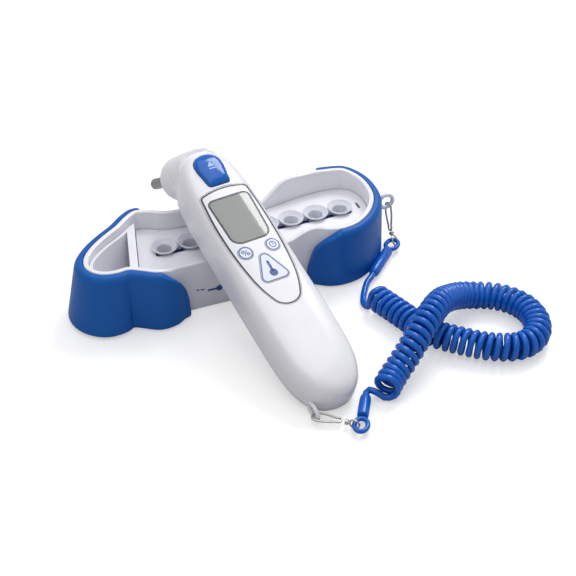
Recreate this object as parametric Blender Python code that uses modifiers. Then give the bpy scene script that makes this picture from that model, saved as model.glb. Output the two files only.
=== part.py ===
"""Tethered ear thermometer resting across its storage base, modelled in metres with +Z up.

The origin is the middle of the base's flat underside. +X runs along the base towards the
tether's eyelet, and the thermometer lies across the base with its tail on the -Y side.
Lengths below are in millimetres and are turned into metres by the helpers.
"""
import bpy
import bmesh
from math import acos, atan2, cos, hypot, pi, radians, sin, sqrt
from mathutils import Matrix, Vector

MM = 0.001
GAP = 0.3                      # clearance between neighbouring pieces

# Storage base: wall line in plan (outer face of the white wall), counter-clockwise
WALL_LINE = [(-84, -9), (-81.8, -15.6), (-76.5, -19.9), (-69.5, -21.3), (-62.5, -20.8), (-56, -24.5),
             (-49, -28.6), (-42, -28), (-36, -24.4), (-27, -22.2), (0, -22), (28, -21.9),
             (38, -20.6), (45, -21.6), (52, -26), (60, -27.4), (70, -25), (80, -17.5),
             (87.5, -6.5), (90, 5), (88.5, 17), (81, 25.5), (68, 27.6), (54, 26.8), (42, 24.6),
             (28, 22.3), (0, 22), (-26, 23.6), (-36, 28), (-44, 30), (-51, 26), (-58, 19.8),
             (-68, 13), (-76, 6.4), (-82, -1.2)]
WALL_THICK = 2.2
WALL_POINTS = 72
# Height of the wall's rim along X, at the front and at the back: (x, height)
FRONT_RIM = [(-95, 37), (-50, 37), (-28, 31.5), (28, 31.5), (50, 37), (95, 37)]
BACK_RIM = [(-95, 37), (-40, 38.5), (-20, 38), (24, 30), (46, 42), (60, 41), (80, 40), (95, 37)]
PLATE_THICK = 2.7
COVER_CLEAR = 1.45             # soft cover to wall, more than GAP because both are faceted
PARTITION_X = -54.2            # where the partition crosses the middle line
PARTITION_TURN = -13.9         # its turn about the upright axis, in degrees
# Extra thickness of the soft covers at their foot, along X: (x, thickness)
COVER_FLARE = [(-95, 6.5), (-78, 6.5), (-58, 0.8), (40, 0.8), (62, 0.2), (95, 0.2)]
DECK_TOP = 27.0
POCKET_FLOOR = 8.0
POCKET_TOP = 33.0

# Row of probe covers
COVER_COUNT = 8
COVER_PITCH = 15.1
COVER_FIRST_X = -35.3
COVER_ROW_Y = 2.8
COVER_FLANGE_R = 7.25
COVER_CUP_R = 4.7

# Moulded loop at the right end, which holds the tether
BASE_EYELET = (100.2, 4.0, 25.0)
EYELET_R = 4.2
EYELET_WIRE = 1.25

# Thermometer frame: X across, Y from tail to head, Z out of the display face
HANDSET_PLACE = (13.92, -127.35, 21.30)
HANDSET_TILT = 21.0
HANDSET_YAW = 8.7
# Half outline in plan from the tail's end to the head's end: (along, half width)
HANDSET_LINE = [(-8.2, 0), (-6.9, 7), (-2.9, 12.7), (3.2, 16.4), (11, 18.8), (24, 20), (44, 20.3),
                (66, 20.2), (88, 19.8), (108, 19.4), (122, 19.1), (133, 18.4), (144, 16.6),
                (152, 12.9), (157.4, 7.2), (159, 0)]
SPINE_START = 26.0
SPINE_END = 138.0
SHELL_THICK = 2.0
SEAM_TAIL = -17.5              # seam height at Y = 0, and its fall per millimetre towards the head
SEAM_FALL = 0.02
UNDER_TAIL = -22.6             # underside height at Y = 0, and its fall towards the head
UNDER_FALL = 0.0524

# Face openings, anticlockwise seen from the back: corners as (x, y, radius)
OVERLAY = [(-14.6, 127.4, 2.6), (-16, 108, 190), (-15.3, 84, 190), (-12.3, 62.5, 58), (-6.2, 48.3, 9),
           (6.2, 48.3, 9), (12.3, 62.5, 58), (15.3, 84, 190), (16, 108, 190), (14.6, 127.4, 2.6),
           (0, 130.2, 40)]
DISPLAY = [(-11.7, 122.0, 2.4), (-10.6, 92.6, 5.0), (10.6, 92.6, 5.0), (11.7, 122.0, 2.4)]
SCAN_KEY = [(-9.6, 64.2, 3.2), (9.6, 64.2, 3.2), (0, 87.5, 3.2)]
EJECT_CAP = [(-8.0, 153.0, 7.6), (-8.15, 142.5, 9), (-6.3, 131.1, 2.2), (6.3, 131.1, 2.2), (8.15, 142.5, 9),
             (8.0, 153.0, 7.6)]
SMALL_KEY_X = 8.2
SMALL_KEY_Y = 85.6
SMALL_KEY_R = 4.1
RECESS = -1.2
TAIL_EYELET = (-14.0, -7.2, -15.8)          # ring at the tail, for the tether's snap

# Probe axis, in the thermometer's own YZ plane, leaning towards the head
AXIS_Y = 140.5
AXIS_LEAN = 35.0
NECK_END = 47.0
TIP_END = 89.5

# Tether
STRAND_D = 3.1
COIL_D = 14.8
SLEEVE_D = 6.0
WIRE_D = 1.2
# Tether places, in the order they are met from the base to the thermometer
BASE_SNAP = ((101.6, 4.2, 23.2), (100.1, -3.8, 9.6))
BASE_SWIVEL = ((101.5, -7.35, 4.2), (0.209, -0.543, -0.814), (-0.707, 0.707, 0))
BASE_EYE = (98.2, -10.6, 4.2)
BASE_SLEEVE = ((93.6, -15.2, 4.2), (76.4, -32.4, 3.9))
LEAD_ROUTE = [(74.6, -34.4, 3.9), (70.0, -38.4, 3.4), (66.0, -44.0, 2.2), (63.6, -50.0, 1.8),
              (62.3, -56.5, 1.9), (63.9, -62.2, 3.2)]
COIL_ROUTE = [(68.2, -61.8, 7.6), (70.2, -67.2, 7.6), (72.6, -74.2, 7.6), (75.4, -82.5, 7.6),
              (79.0, -92.0, 7.6), (84.6, -100.9, 7.6), (90.6, -107.0, 7.6), (96.9, -112.9, 7.6),
              (103.4, -118.2, 7.6), (110.8, -122.3, 7.6), (118.6, -124.8, 7.6), (126.6, -123.8, 7.6),
              (134.2, -118.4, 7.6), (139.0, -108.6, 7.6), (139.0, -97.2, 7.6), (134.6, -87.6, 7.6),
              (127.4, -80.6, 7.6), (118.8, -77.0, 7.8), (109.0, -77.4, 10.4), (98.4, -83.2, 15.4),
              (88.6, -91.8, 20.8), (80.0, -99.8, 22.9), (70.6, -108.0, 22.0), (61.6, -114.8, 17.6),
              (53.6, -119.6, 12.4), (47.2, -123.5, 8.9), (41.0, -128.4, 7.6)]
TAIL_LEAD = [(37.0, -124.2, 7.4), (35.3, -125.0, 7.0), (33.4, -124.9, 5.6), (31.9, -124.2, 4.2),
             (30.8, -125.4, 3.5)]
TAIL_SLEEVE = ((30.1, -127.0, 3.4), (22.1, -141.0, 3.4))
TAIL_EYE = (18.8, -146.6, 3.4)
TAIL_SWIVEL = ((15.9, -144.9, 3.4), (0.716, -0.697, 0.0), (0.511, 0.859, 0))
TAIL_SNAP = ((-1.4, -131.6, 3.6), (10.6, -139.8, 3.4))


def clear_scene():
    for ob in list(bpy.data.objects):
        bpy.data.objects.remove(ob, do_unlink=True)


def collection(name):
    col = bpy.data.collections.new(name)
    bpy.context.scene.collection.children.link(col)
    return col


def material(name, colour, roughness=0.4, metallic=0.0, transmission=0.0):
    mat = bpy.data.materials.new(name)
    mat.use_nodes = True
    shader = mat.node_tree.nodes["Principled BSDF"]
    shader.inputs["Base Color"].default_value = (*colour, 1.0)
    shader.inputs["Roughness"].default_value = roughness
    shader.inputs["Metallic"].default_value = metallic
    shader.inputs["Transmission Weight"].default_value = transmission
    return mat


def add_object(name, mesh, mat, parent=None, cutter=False):
    ob = bpy.data.objects.new(name, mesh)
    (CUTTERS if cutter else PARTS).objects.link(ob)
    if mat:
        mesh.materials.clear()
        mesh.materials.append(mat)
    if parent:
        ob.parent = parent
    if cutter:
        ob.hide_render = True
        ob.display_type = "WIRE"
    return ob


def finish_bmesh(bm, name):
    bmesh.ops.recalc_face_normals(bm, faces=bm.faces)
    mesh = bpy.data.meshes.new(name)
    bm.to_mesh(mesh)
    bm.free()
    mesh.shade_smooth()
    mesh.set_sharp_from_angle(angle=radians(40))
    return mesh


def frame_empty(name, place, rotation=(0, 0, 0), parent=None):
    ob = bpy.data.objects.new(name, None)
    PARTS.objects.link(ob)
    ob.location = Vector(place) * MM
    ob.rotation_euler = rotation
    if parent:
        ob.parent = parent
    return ob


def apply_modifiers(ob):
    depsgraph = bpy.context.evaluated_depsgraph_get()
    mesh = bpy.data.meshes.new_from_object(ob.evaluated_get(depsgraph))
    ob.modifiers.clear()
    ob.data = mesh
    mesh.shade_smooth()
    mesh.set_sharp_from_angle(angle=radians(40))


def boolean(ob, other, operation="DIFFERENCE"):
    modifier = ob.modifiers.new(operation.title(), "BOOLEAN")
    modifier.operation = operation
    modifier.solver = "EXACT"
    modifier.object = other
    bpy.context.view_layer.update()


def box(name, low, high, mat=None, parent=None, cutter=False, bevel=0.0):
    """A box from its lowest to its highest corner, with rounded edges if bevel is set."""
    bm = bmesh.new()
    bmesh.ops.create_cube(bm, size=1.0)
    size = [(b - a) * MM for a, b in zip(low, high)]
    middle = [(a + b) / 2 * MM for a, b in zip(low, high)]
    bmesh.ops.scale(bm, vec=size, verts=bm.verts)
    if bevel:
        bmesh.ops.bevel(bm, geom=list(bm.edges), offset=bevel * MM, segments=2, affect="EDGES")
    ob = add_object(name, finish_bmesh(bm, name), mat, parent, cutter)
    ob.location = middle
    return ob


def cylinder(name, radius, low, high, mat=None, parent=None, cutter=False, radius2=None, segments=32):
    """A cylinder or cone along local Z between two heights, its origin on its axis."""
    bm = bmesh.new()
    top = radius if radius2 is None else radius2
    bmesh.ops.create_cone(bm, cap_ends=True, segments=segments, radius1=radius * MM,
                          radius2=top * MM, depth=(high - low) * MM)
    bmesh.ops.translate(bm, vec=(0, 0, (high + low) / 2 * MM), verts=bm.verts)
    return add_object(name, finish_bmesh(bm, name), mat, parent, cutter)


def turned(name, profile, mat, parent=None, cutter=False, segments=24):
    """A solid of revolution about local Z from (radius, height) points, made by a Screw modifier.

    The profile runs down the outer side, from the top of the axis or round a closed section."""
    mesh = bpy.data.meshes.new(name)
    points = [(r * MM, 0, z * MM) for r, z in profile]
    closed = profile[0][0] > 0
    count = len(points)
    edges = [(i, i + 1) for i in range(count - 1)] + ([(count - 1, 0)] if closed else [])
    mesh.from_pydata(points, edges, [])
    ob = add_object(name, mesh, mat, parent, cutter)
    screw = ob.modifiers.new("Screw", "SCREW")
    screw.axis = "Z"
    screw.steps = segments
    screw.render_steps = segments
    screw.use_merge_vertices = True
    screw.merge_threshold = 0.00001
    screw.use_smooth_shade = True
    return ob


def tube(name, points, diameter, mat, parent=None, closed=False, detail=2):
    """A round tube along points in millimetres, made from a poly curve and welded closed."""
    curve = bpy.data.curves.new(name, "CURVE")
    curve.dimensions = "3D"
    curve.bevel_depth = diameter / 2 * MM
    curve.bevel_resolution = detail
    curve.use_fill_caps = not closed
    spline = curve.splines.new("POLY")
    spline.points.add(len(points) - 1)
    for target, point in zip(spline.points, points):
        target.co = (*(Vector(point) * MM), 1)
    spline.use_cyclic_u = closed
    guide = bpy.data.objects.new(name + "_curve", curve)
    PARTS.objects.link(guide)
    bpy.context.view_layer.update()
    depsgraph = bpy.context.evaluated_depsgraph_get()
    mesh = bpy.data.meshes.new_from_object(guide.evaluated_get(depsgraph))
    bpy.data.objects.remove(guide, do_unlink=True)
    bm = bmesh.new()
    bm.from_mesh(mesh)
    bmesh.ops.remove_doubles(bm, verts=bm.verts, dist=0.00001)
    return add_object(name, finish_bmesh(bm, name), mat, parent)


def smooth_path(points, spacing, closed=False):
    """Points a fixed spacing apart on a Catmull-Rom curve through the given ones."""
    pts = [Vector(p) for p in points]
    count = len(pts)
    fine = []
    for i in range(count if closed else count - 1):
        if closed:
            p0, p1, p2, p3 = (pts[(i + k) % count] for k in (-1, 0, 1, 2))
        else:
            p1, p2 = pts[i], pts[i + 1]
            p0 = pts[i - 1] if i else p1 * 2 - p2
            p3 = pts[i + 2] if i + 2 < count else p2 * 2 - p1
        for k in range(20):
            t = k / 20
            fine.append(0.5 * (2 * p1 + (p2 - p0) * t + (2 * p0 - 5 * p1 + 4 * p2 - p3) * t * t
                               + (3 * p1 - p0 - 3 * p2 + p3) * t ** 3))
    fine.append(pts[0] if closed else pts[-1])
    length = sum((b - a).length for a, b in zip(fine, fine[1:]))
    steps = max(2, round(length / spacing))
    result = [fine[0]]
    travelled = 0.0
    for a, b in zip(fine, fine[1:]):
        piece = (b - a).length
        while len(result) < steps and travelled + piece >= length * len(result) / steps:
            need = length * len(result) / steps - travelled
            result.append(a.lerp(b, need / piece))
        travelled += piece
    if not closed:
        result.append(fine[-1])
    return result


def plate(name, outline, low, high, mat=None, parent=None, cutter=False, bevel=0.0):
    """A flat outline extruded between two heights, made as a filled 2D curve."""
    curve = bpy.data.curves.new(name, "CURVE")
    curve.dimensions = "2D"
    curve.fill_mode = "BOTH"
    curve.extrude = (high - low) / 2 * MM
    spline = curve.splines.new("POLY")
    spline.points.add(len(outline) - 1)
    for target, point in zip(spline.points, outline):
        target.co = (point[0] * MM, point[1] * MM, 0, 1)
    spline.use_cyclic_u = True
    guide = bpy.data.objects.new(name + "_curve", curve)
    PARTS.objects.link(guide)
    bpy.context.view_layer.update()
    depsgraph = bpy.context.evaluated_depsgraph_get()
    mesh = bpy.data.meshes.new_from_object(guide.evaluated_get(depsgraph))
    bpy.data.objects.remove(guide, do_unlink=True)
    bm = bmesh.new()
    bm.from_mesh(mesh)
    bmesh.ops.remove_doubles(bm, verts=bm.verts, dist=0.00001)
    bmesh.ops.dissolve_limit(bm, angle_limit=0.001, verts=bm.verts, edges=bm.edges)
    bmesh.ops.translate(bm, vec=(0, 0, (high + low) / 2 * MM), verts=bm.verts)
    ob = add_object(name, finish_bmesh(bm, name), mat, parent, cutter)
    if bevel:
        rounding = ob.modifiers.new("Bevel", "BEVEL")
        rounding.width = bevel * MM
        rounding.segments = 2
        rounding.limit_method = "ANGLE"
        rounding.angle_limit = radians(50)
    return ob


def grid_solid(name, rings, mat=None, parent=None, cutter=False, cap=True, wrap=False):
    """A closed loft through rings of equal count; the ends are capped or joined to each other."""
    bm = bmesh.new()
    rows = [[bm.verts.new(Vector(p) * MM) for p in ring] for ring in rings]
    count = len(rings[0])
    pairs = list(zip(rows, rows[1:])) + ([(rows[-1], rows[0])] if wrap else [])
    for lower, upper in pairs:
        for i in range(count):
            j = (i + 1) % count
            bm.faces.new((lower[i], lower[j], upper[j], upper[i]))
    if cap and not wrap:
        bm.faces.new(rows[0])
        bm.faces.new(rows[-1])
    bmesh.ops.remove_doubles(bm, verts=bm.verts, dist=0.00001)
    return add_object(name, finish_bmesh(bm, name), mat, parent, cutter)


def ramp(table, x):
    """Height at x between the table's (x, height) points, eased so that it has no corners."""
    if x <= table[0][0]:
        return table[0][1]
    for (x0, h0), (x1, h1) in zip(table, table[1:]):
        if x <= x1:
            t = (x - x0) / (x1 - x0)
            return h0 + (h1 - h0) * t * t * (3 - 2 * t)
    return table[-1][1]


# ---------------------------------------------------------------- storage base

def wall_points(count):
    """Points and outward normals along the wall line."""
    pts = smooth_path([(x, y, 0) for x, y in WALL_LINE], 1.0, closed=True)
    dense = len(pts)
    result = []
    for i in range(count):
        k = i * dense // count
        along = pts[(k + 2) % dense] - pts[k - 2]
        normal = Vector((along.y, -along.x, 0)).normalized()
        result.append((pts[k], normal))
    return result


def wall_offset(count, offset):
    return [(p.x + n.x * offset, p.y + n.y * offset) for p, n in wall_points(count)]


def rim_height(point):
    blend = min(1, max(0, (point.y + 12) / 24))
    blend = blend * blend * (3 - 2 * blend)
    return ramp(FRONT_RIM, point.x) * (1 - blend) + ramp(BACK_RIM, point.x) * blend


def base_shell(mat):
    """The white wall: a ring whose rim rises and falls, with a rounded lip."""
    wall = wall_points(WALL_POINTS)
    low = GAP
    section = [(0, 0.0), (0, 0.5), (0, -1), (-0.6, -0.3), (-WALL_THICK / 2, 0),
               (-WALL_THICK + 0.6, -0.3), (-WALL_THICK, -1), (-WALL_THICK, 0.5), (-WALL_THICK, 0.0)]
    rings = []
    for offset, level in section:
        ring = []
        for point, normal in wall:
            rim = rim_height(point)
            height = low + (rim - 6 - low) * level * 2 if level >= 0 and offset in (0, -WALL_THICK) \
                else rim + level
            ring.append((point.x + normal.x * offset, point.y + normal.y * offset, height))
        rings.append(ring)
    return grid_solid("base_shell", rings, mat, wrap=True)


def base_bottom(plate_mat, foot_mat, screw_mat):
    bottom = plate("base_plate", wall_offset(WALL_POINTS, -WALL_THICK - GAP), 0, PLATE_THICK, plate_mat)
    feet = [(-72, -9), (-45.5, 18.5), (50, 17), (70, -14)]
    for number, (x, y) in enumerate(feet, 1):
        recess = cylinder(f"foot_recess_{number}", 5 + GAP, -1, 2.0, cutter=True, segments=24)
        recess.location = (x * MM, y * MM, 0)
        boolean(bottom, recess)
        foot = cylinder(f"base_foot_{number}", 5, 0, 1.7, foot_mat, segments=24)
        foot.location = (x * MM, y * MM, 0)
    for number, x in enumerate((-25, 30), 1):
        recess = cylinder(f"screw_recess_{number}", 3 + GAP, -1, 1.9, cutter=True, segments=20)
        recess.location = (x * MM, 0, 0)
        boolean(bottom, recess)
        screw_head(f"base_screw_{number}", (x, 0, 1.6), screw_mat)
    apply_modifiers(bottom)


def screw_head(name, place, mat, parent=None, radius=2.8, thick=1.3):
    """A countersunk cross-head screw, its head facing down."""
    head = cylinder(name, radius, -thick, 0, mat, parent, segments=20)
    head.location = Vector(place) * MM
    for turn in (0, 1):
        half = (1.5, 0.35) if turn else (0.35, 1.5)
        slot = box(f"{name}_slot_{turn}", (-half[0], -half[1], -thick - 1),
                   (half[0], half[1], -thick + 0.6), parent=parent, cutter=True)
        slot.location = slot.location + head.location
        boolean(head, slot)
    apply_modifiers(head)
    return head


def beyond_partition(name, offset, keep_left):
    """A large cutter on one side of the turned partition plane, moved along X by an offset."""
    far = 200
    low, high = ((offset, far) if keep_left else (-far, offset))
    cutter = box(name, (low, -far, -far), (high, far, far), cutter=True)
    turn = Matrix.Rotation(radians(PARTITION_TURN), 4, "Z")
    cutter.rotation_euler = (0, 0, radians(PARTITION_TURN))
    cutter.location = turn @ cutter.location + Vector((PARTITION_X * MM, 0, 0))
    return cutter


def deck_and_pocket(mat, slit_centre=(82, 3.5)):
    """The deck under the probe covers and the cup for the thermometer's head."""
    low = PLATE_THICK + GAP
    clear = WALL_THICK + GAP
    deck = plate("cover_deck", wall_offset(WALL_POINTS, -clear), low, DECK_TOP, mat)
    boolean(deck, beyond_partition("deck_limit", GAP, False))
    hollow = plate("deck_hollow", wall_offset(WALL_POINTS, -clear - 1.6), -5, DECK_TOP - 1.6, cutter=True)
    boolean(hollow, beyond_partition("hollow_limit", GAP + 1.6, False))
    apply_modifiers(hollow)
    boolean(deck, hollow)
    last = COVER_FIRST_X + (COVER_COUNT - 1) * COVER_PITCH
    boolean(deck, box("cover_slot", (COVER_FIRST_X - 6, COVER_ROW_Y - 5.2, DECK_TOP - 5),
                      (last + 6, COVER_ROW_Y - 0.6, DECK_TOP + 5), cutter=True))
    for number in range(COVER_COUNT):
        hole = cylinder(f"cover_hole_{number}", COVER_CUP_R + GAP, DECK_TOP - 5, DECK_TOP + 5, cutter=True,
                        segments=24)
        hole.location = ((COVER_FIRST_X + number * COVER_PITCH) * MM, COVER_ROW_Y * MM, 0)
        boolean(deck, hole)
    sx, sy = slit_centre
    boolean(deck, box("end_slit", (sx - 1, sy - 3, DECK_TOP - 5), (sx + 1, sy + 3, DECK_TOP + 5),
                      cutter=True))
    apply_modifiers(deck)

    pocket = plate("head_pocket", wall_offset(WALL_POINTS, -clear), low, POCKET_TOP, mat)
    boolean(pocket, beyond_partition("pocket_limit", -GAP, True))
    inside = plate("pocket_hollow", wall_offset(WALL_POINTS, -clear - 1.8), POCKET_FLOOR, 60, cutter=True)
    boolean(inside, beyond_partition("inside_limit", -GAP - 1.8, True))
    apply_modifiers(inside)
    boolean(pocket, inside)
    apply_modifiers(pocket)


def obround(x0, x1, y, radius, steps=10):
    """A slot outline from x0 - radius to x1 + radius."""
    right = [(x1 + radius * cos(a), y + radius * sin(a))
             for a in (-pi / 2 + pi * i / steps for i in range(steps + 1))]
    left = [(x0 + radius * cos(a), y + radius * sin(a))
            for a in (pi / 2 + pi * i / steps for i in range(steps + 1))]
    return right + left


def cover_row(cassette_mat, cover_mat):
    """The cassette with a bore for each probe cover, and the covers hanging by their flanges."""
    xs = [COVER_FIRST_X + i * COVER_PITCH for i in range(COVER_COUNT)]
    top = DECK_TOP - 1.6 - GAP
    low = PLATE_THICK + GAP
    cassette = plate("cover_cassette", obround(xs[0], xs[-1] - 1.5, COVER_ROW_Y, 8.2), low, top,
                     cassette_mat)
    profile = [(0, DECK_TOP - 18), (3.4, DECK_TOP - 18), (COVER_CUP_R, DECK_TOP + 0.2),
               (COVER_FLANGE_R - 0.2, DECK_TOP + 1.8), (COVER_FLANGE_R, DECK_TOP + 2.8),
               (COVER_FLANGE_R - 0.6, DECK_TOP + 2.8), (4.2, DECK_TOP + 0.7), (2.9, DECK_TOP - 17.4),
               (0, DECK_TOP - 17.4)]
    for number, x in enumerate(xs, 1):
        bore = cylinder(f"cover_bore_{number}", COVER_CUP_R + GAP * 2, low + 1.5, top + 5,
                        cutter=True, segments=20)
        bore.location = (x * MM, COVER_ROW_Y * MM, 0)
        boolean(cassette, bore)
        cover = turned(f"probe_cover_{number}", list(reversed(profile)), cover_mat, segments=14)
        cover.location = (x * MM, COVER_ROW_Y * MM, 0)
    apply_modifiers(cassette)


def cover_offset(point, height, bottom, top):
    """Thickness of a soft end cover at a wall point and height: flared and rounded at its foot."""
    level = (height - bottom) / (top - bottom)
    body = 3.2 + ramp(COVER_FLARE, point.x) * (1 - level)
    foot = min(1, (height - bottom) / 4.0)
    shoulder = min(1, (top - height) / 4.5)
    round_off = sqrt(max(0, 1 - (1 - foot) ** 2)) * 0.45 + 0.55
    round_top = sqrt(max(0, 1 - (1 - shoulder) ** 2)) * 0.75 + 0.25
    return body * round_off * round_top


def end_cover(name, mat, start_edge, end_edge, top_of):
    """A soft cover wrapped round one end of the wall, between two edges that slant with height.

    start_edge and end_edge give the wall position, as a share of its length, at a share of
    the height; top_of gives the cover's top at a wall point."""
    wall = wall_points(240)
    count = len(wall)

    def at(share):
        place = (share % 1.0) * count
        k = int(place) % count
        f = place - int(place)
        (p, n), (q, m) = wall[k], wall[(k + 1) % count]
        return p.lerp(q, f), n.lerp(m, f).normalized()

    levels = [0, 0.04, 0.12, 0.4, 0.7, 0.9, 0.97, 1.0]
    columns = 36
    bottom = 0.3
    inner, outer = [], []
    for level in levels:
        s0, s1 = start_edge(level), end_edge(level)
        row_in, row_out = [], []
        for i in range(columns + 1):
            point, normal = at(s0 + (s1 - s0) * i / columns)
            top = top_of(point)
            z = bottom + (top - bottom) * level
            edge = min(i, columns - i)
            fade = (0.45, 0.85, 0.97)[edge] if edge < 3 else 1.0
            thick = cover_offset(point, z, bottom, top) * fade
            a = point + normal * COVER_CLEAR
            b = point + normal * (COVER_CLEAR + thick)
            row_in.append((a.x, a.y, z))
            row_out.append((b.x, b.y, z))
        inner.append(row_in)
        outer.append(row_out)
    rings = [row_out + row_in[::-1] for row_out, row_in in zip(outer, inner)]
    return grid_solid(name, rings, mat)


def share_at(x, front):
    """Share of the wall's length at which it passes x, on its front or back side."""
    wall = wall_points(480)
    best = min(range(len(wall)),
               key=lambda i: abs(wall[i][0].x - x) + (0 if (wall[i][0].y < 0) == front else 1000))
    return best / len(wall)


def end_covers(mat):
    left_front = [share_at(x, True) for x in (-31, -33, -47)]
    left_back = [share_at(x, False) for x in (-39, -39, -41)]
    right_front = [share_at(x, True) for x in (40, 43, 58)]
    right_back = [share_at(x, False) for x in (68, 68, 66)]

    def edge(shares, turns=0.0):
        low, middle, high = shares

        def position(level):
            if level < 0.5:
                t = level / 0.5
                return turns + low + (middle - low) * t * t
            t = (level - 0.5) / 0.5
            return turns + middle + (high - middle) * t ** 1.7
        return position

    def shoulder(point):
        return rim_height(point) - 0.4

    end_cover("left_end_cover", mat, edge(left_back), edge(left_front, 1.0), shoulder)
    right = end_cover("right_end_cover", mat, edge(right_front), edge(right_back), shoulder)
    hole = cylinder("eyelet_hole", 2.2 + GAP, -20, 20, cutter=True, segments=20)
    hole.rotation_euler = (0, radians(90), 0)
    hole.location = Vector(BASE_EYELET) * MM
    boolean(right, hole)
    apply_modifiers(right)


def ring_points(centre, axis_u, axis_v, radius_u, radius_v, count):
    c, a, b = Vector(centre), Vector(axis_u).normalized(), Vector(axis_v).normalized()
    return [c + a * radius_u * cos(2 * pi * i / count) + b * radius_v * sin(2 * pi * i / count)
            for i in range(count)]


def base_eyelet(mat):
    """A moulded loop standing out of the right end on a round stem, its hole facing forwards."""
    centre = Vector(BASE_EYELET)
    loop = tube("base_eyelet", ring_points(centre, (1, 0, 0), (0, 0, 1), EYELET_R, EYELET_R, 20),
                EYELET_WIRE * 2, mat, closed=True, detail=2)
    stem = cylinder("eyelet_stem", 2.2, -EYELET_R - 5.4, -EYELET_R + 0.6, cutter=True, segments=20)
    stem.rotation_euler = (0, radians(90), 0)
    stem.location = centre * MM
    boolean(loop, stem, "UNION")
    apply_modifiers(loop)


# ---------------------------------------------------------------- thermometer

def handset_outline(inset=0.0, half=22):
    """The body's plan outline, counter-clockwise from the tail, inset by a wall's thickness."""
    pts = smooth_path([(x, y, 0) for y, x in HANDSET_LINE], 2.0)
    length = sum((b - a).length for a, b in zip(pts, pts[1:]))
    right = []
    travelled = 0.0
    targets = [length * 0.5 * (1 - cos(pi * i / half)) for i in range(half + 1)]
    k = 0
    for a, b in zip(pts, pts[1:]):
        piece = (b - a).length
        while k <= half and targets[k] <= travelled + piece + 1e-9:
            right.append(a.lerp(b, (targets[k] - travelled) / piece))
            k += 1
        travelled += piece
    result = []
    for i, point in enumerate(right):
        if i in (0, half):
            result.append((0.0, point.y + (inset if i == 0 else -inset)))
            continue
        along = (right[i + 1] - right[i - 1]).normalized()
        result.append((point.x - along.y * inset, point.y + along.x * inset))
    return result + [(-x, y) for x, y in result[-2:0:-1]]


def seam_height(y):
    return SEAM_TAIL - SEAM_FALL * y


def under_height(y):
    return UNDER_TAIL - UNDER_FALL * min(y, 150)


def handset_solid(name, inset, cutter=True, parent=None):
    """The whole body: a dome above the seam and a shallower one below it, round one spine."""
    outline = handset_outline(inset)
    shares = [1.0, 0.98, 0.93, 0.84, 0.7, 0.45, 0.0]
    rings = []

    def ring(share, upper):
        points = []
        power = 4.2 if upper else 3.6
        for x, y in outline:
            spine = min(max(y, SPINE_START), SPINE_END)
            px = x * share
            py = spine + (y - spine) * share
            seam = seam_height(py)
            target = -inset if upper else under_height(py) + inset
            rise = (1 - share ** power) ** (1 / power)
            points.append((px, py, seam + (target - seam) * rise))
        return points

    for share in reversed(shares):
        rings.append(ring(share, True))
    for share in shares[1:]:
        rings.append(ring(share, False))
    return grid_solid(name, rings, None, parent, cutter, cap=False)


def on_axis(distance, across=0.0):
    """A point on the probe's axis in the thermometer's frame, or beside it in its mid-plane."""
    lean = radians(AXIS_LEAN)
    return Vector((0, AXIS_Y + sin(lean) * distance + cos(lean) * across,
                   -cos(lean) * distance + sin(lean) * across))


def shells(mat, handset):
    """Front and back shells: one hollow body with its neck, parted at the seam."""
    body = handset_solid("body_outer", 0.0, parent=handset)
    neck = cylinder("neck_outer", 14.6, 14, NECK_END, cutter=True, parent=PROBE, radius2=12.7,
                    segments=20)
    boolean(body, neck, "UNION")
    inner = handset_solid("body_inner", SHELL_THICK, parent=handset)
    bore = cylinder("neck_inner", 12.6, 16, NECK_END + 4, cutter=True, parent=PROBE, radius2=10.9,
                    segments=20)
    boolean(inner, bore, "UNION")
    apply_modifiers(inner)
    boolean(body, inner)
    apply_modifiers(body)

    far = 300
    tilt = -atan2(SEAM_FALL, 1)
    shells_made = []
    for name, low, high in (("front_shell", GAP / 2, far), ("back_shell", -far, -GAP / 2)):
        shell = add_object(name, body.data.copy(), mat, handset)
        keep = box(name + "_side", (-far, -far, low), (far, far, high), parent=handset, cutter=True)
        keep.rotation_euler = (tilt, 0, 0)
        offset = Matrix.Rotation(tilt, 3, "X") @ Vector((0, 0, (low + high) / 2))
        keep.location = (offset + Vector((0, 0, SEAM_TAIL))) * MM
        boolean(shell, keep, "INTERSECT")
        apply_modifiers(shell)
        shells_made.append(shell)
    bpy.data.objects.remove(body, do_unlink=True)
    return shells_made


def rounded_polygon(corners, steps=4):
    """A closed outline with an arc at each (x, y, radius) corner."""
    result = []
    count = len(corners)
    for i, (x, y, radius) in enumerate(corners):
        here = Vector((x, y))
        before = (Vector(corners[i - 1][:2]) - here).normalized()
        after = (Vector(corners[(i + 1) % count][:2]) - here).normalized()
        half = acos(max(-1, min(1, before.dot(after)))) / 2
        reach = radius / max(0.05, abs(sin(half) / cos(half)))
        centre = here + (before + after).normalized() * hypot(reach, radius)
        a0 = atan2(*(here + before * reach - centre).yx)
        a1 = atan2(*(here + after * reach - centre).yx)
        sweep = (a1 - a0 + pi) % (2 * pi) - pi
        angles = [a0 + sweep * k / steps for k in range(steps + 1)]
        result += [tuple(centre + radius * Vector((cos(a), sin(a)))) for a in angles]
    return result


def grow(corners, amount):
    """The same rounded polygon, larger by an amount on every side (convex outlines only)."""
    count = len(corners)
    result = []
    for i, (x, y, radius) in enumerate(corners):
        here = Vector((x, y))
        before = (Vector(corners[i - 1][:2]) - here).normalized()
        after = (Vector(corners[(i + 1) % count][:2]) - here).normalized()
        half = acos(max(-1, min(1, before.dot(after)))) / 2
        out = -(before + after).normalized() * (amount / sin(half))
        result.append((x + out.x, y + out.y, radius + amount))
    return result


def circle_outline(x, y, radius, steps=20):
    return [(x + radius * cos(2 * pi * i / steps), y + radius * sin(2 * pi * i / steps))
            for i in range(steps)]


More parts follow.
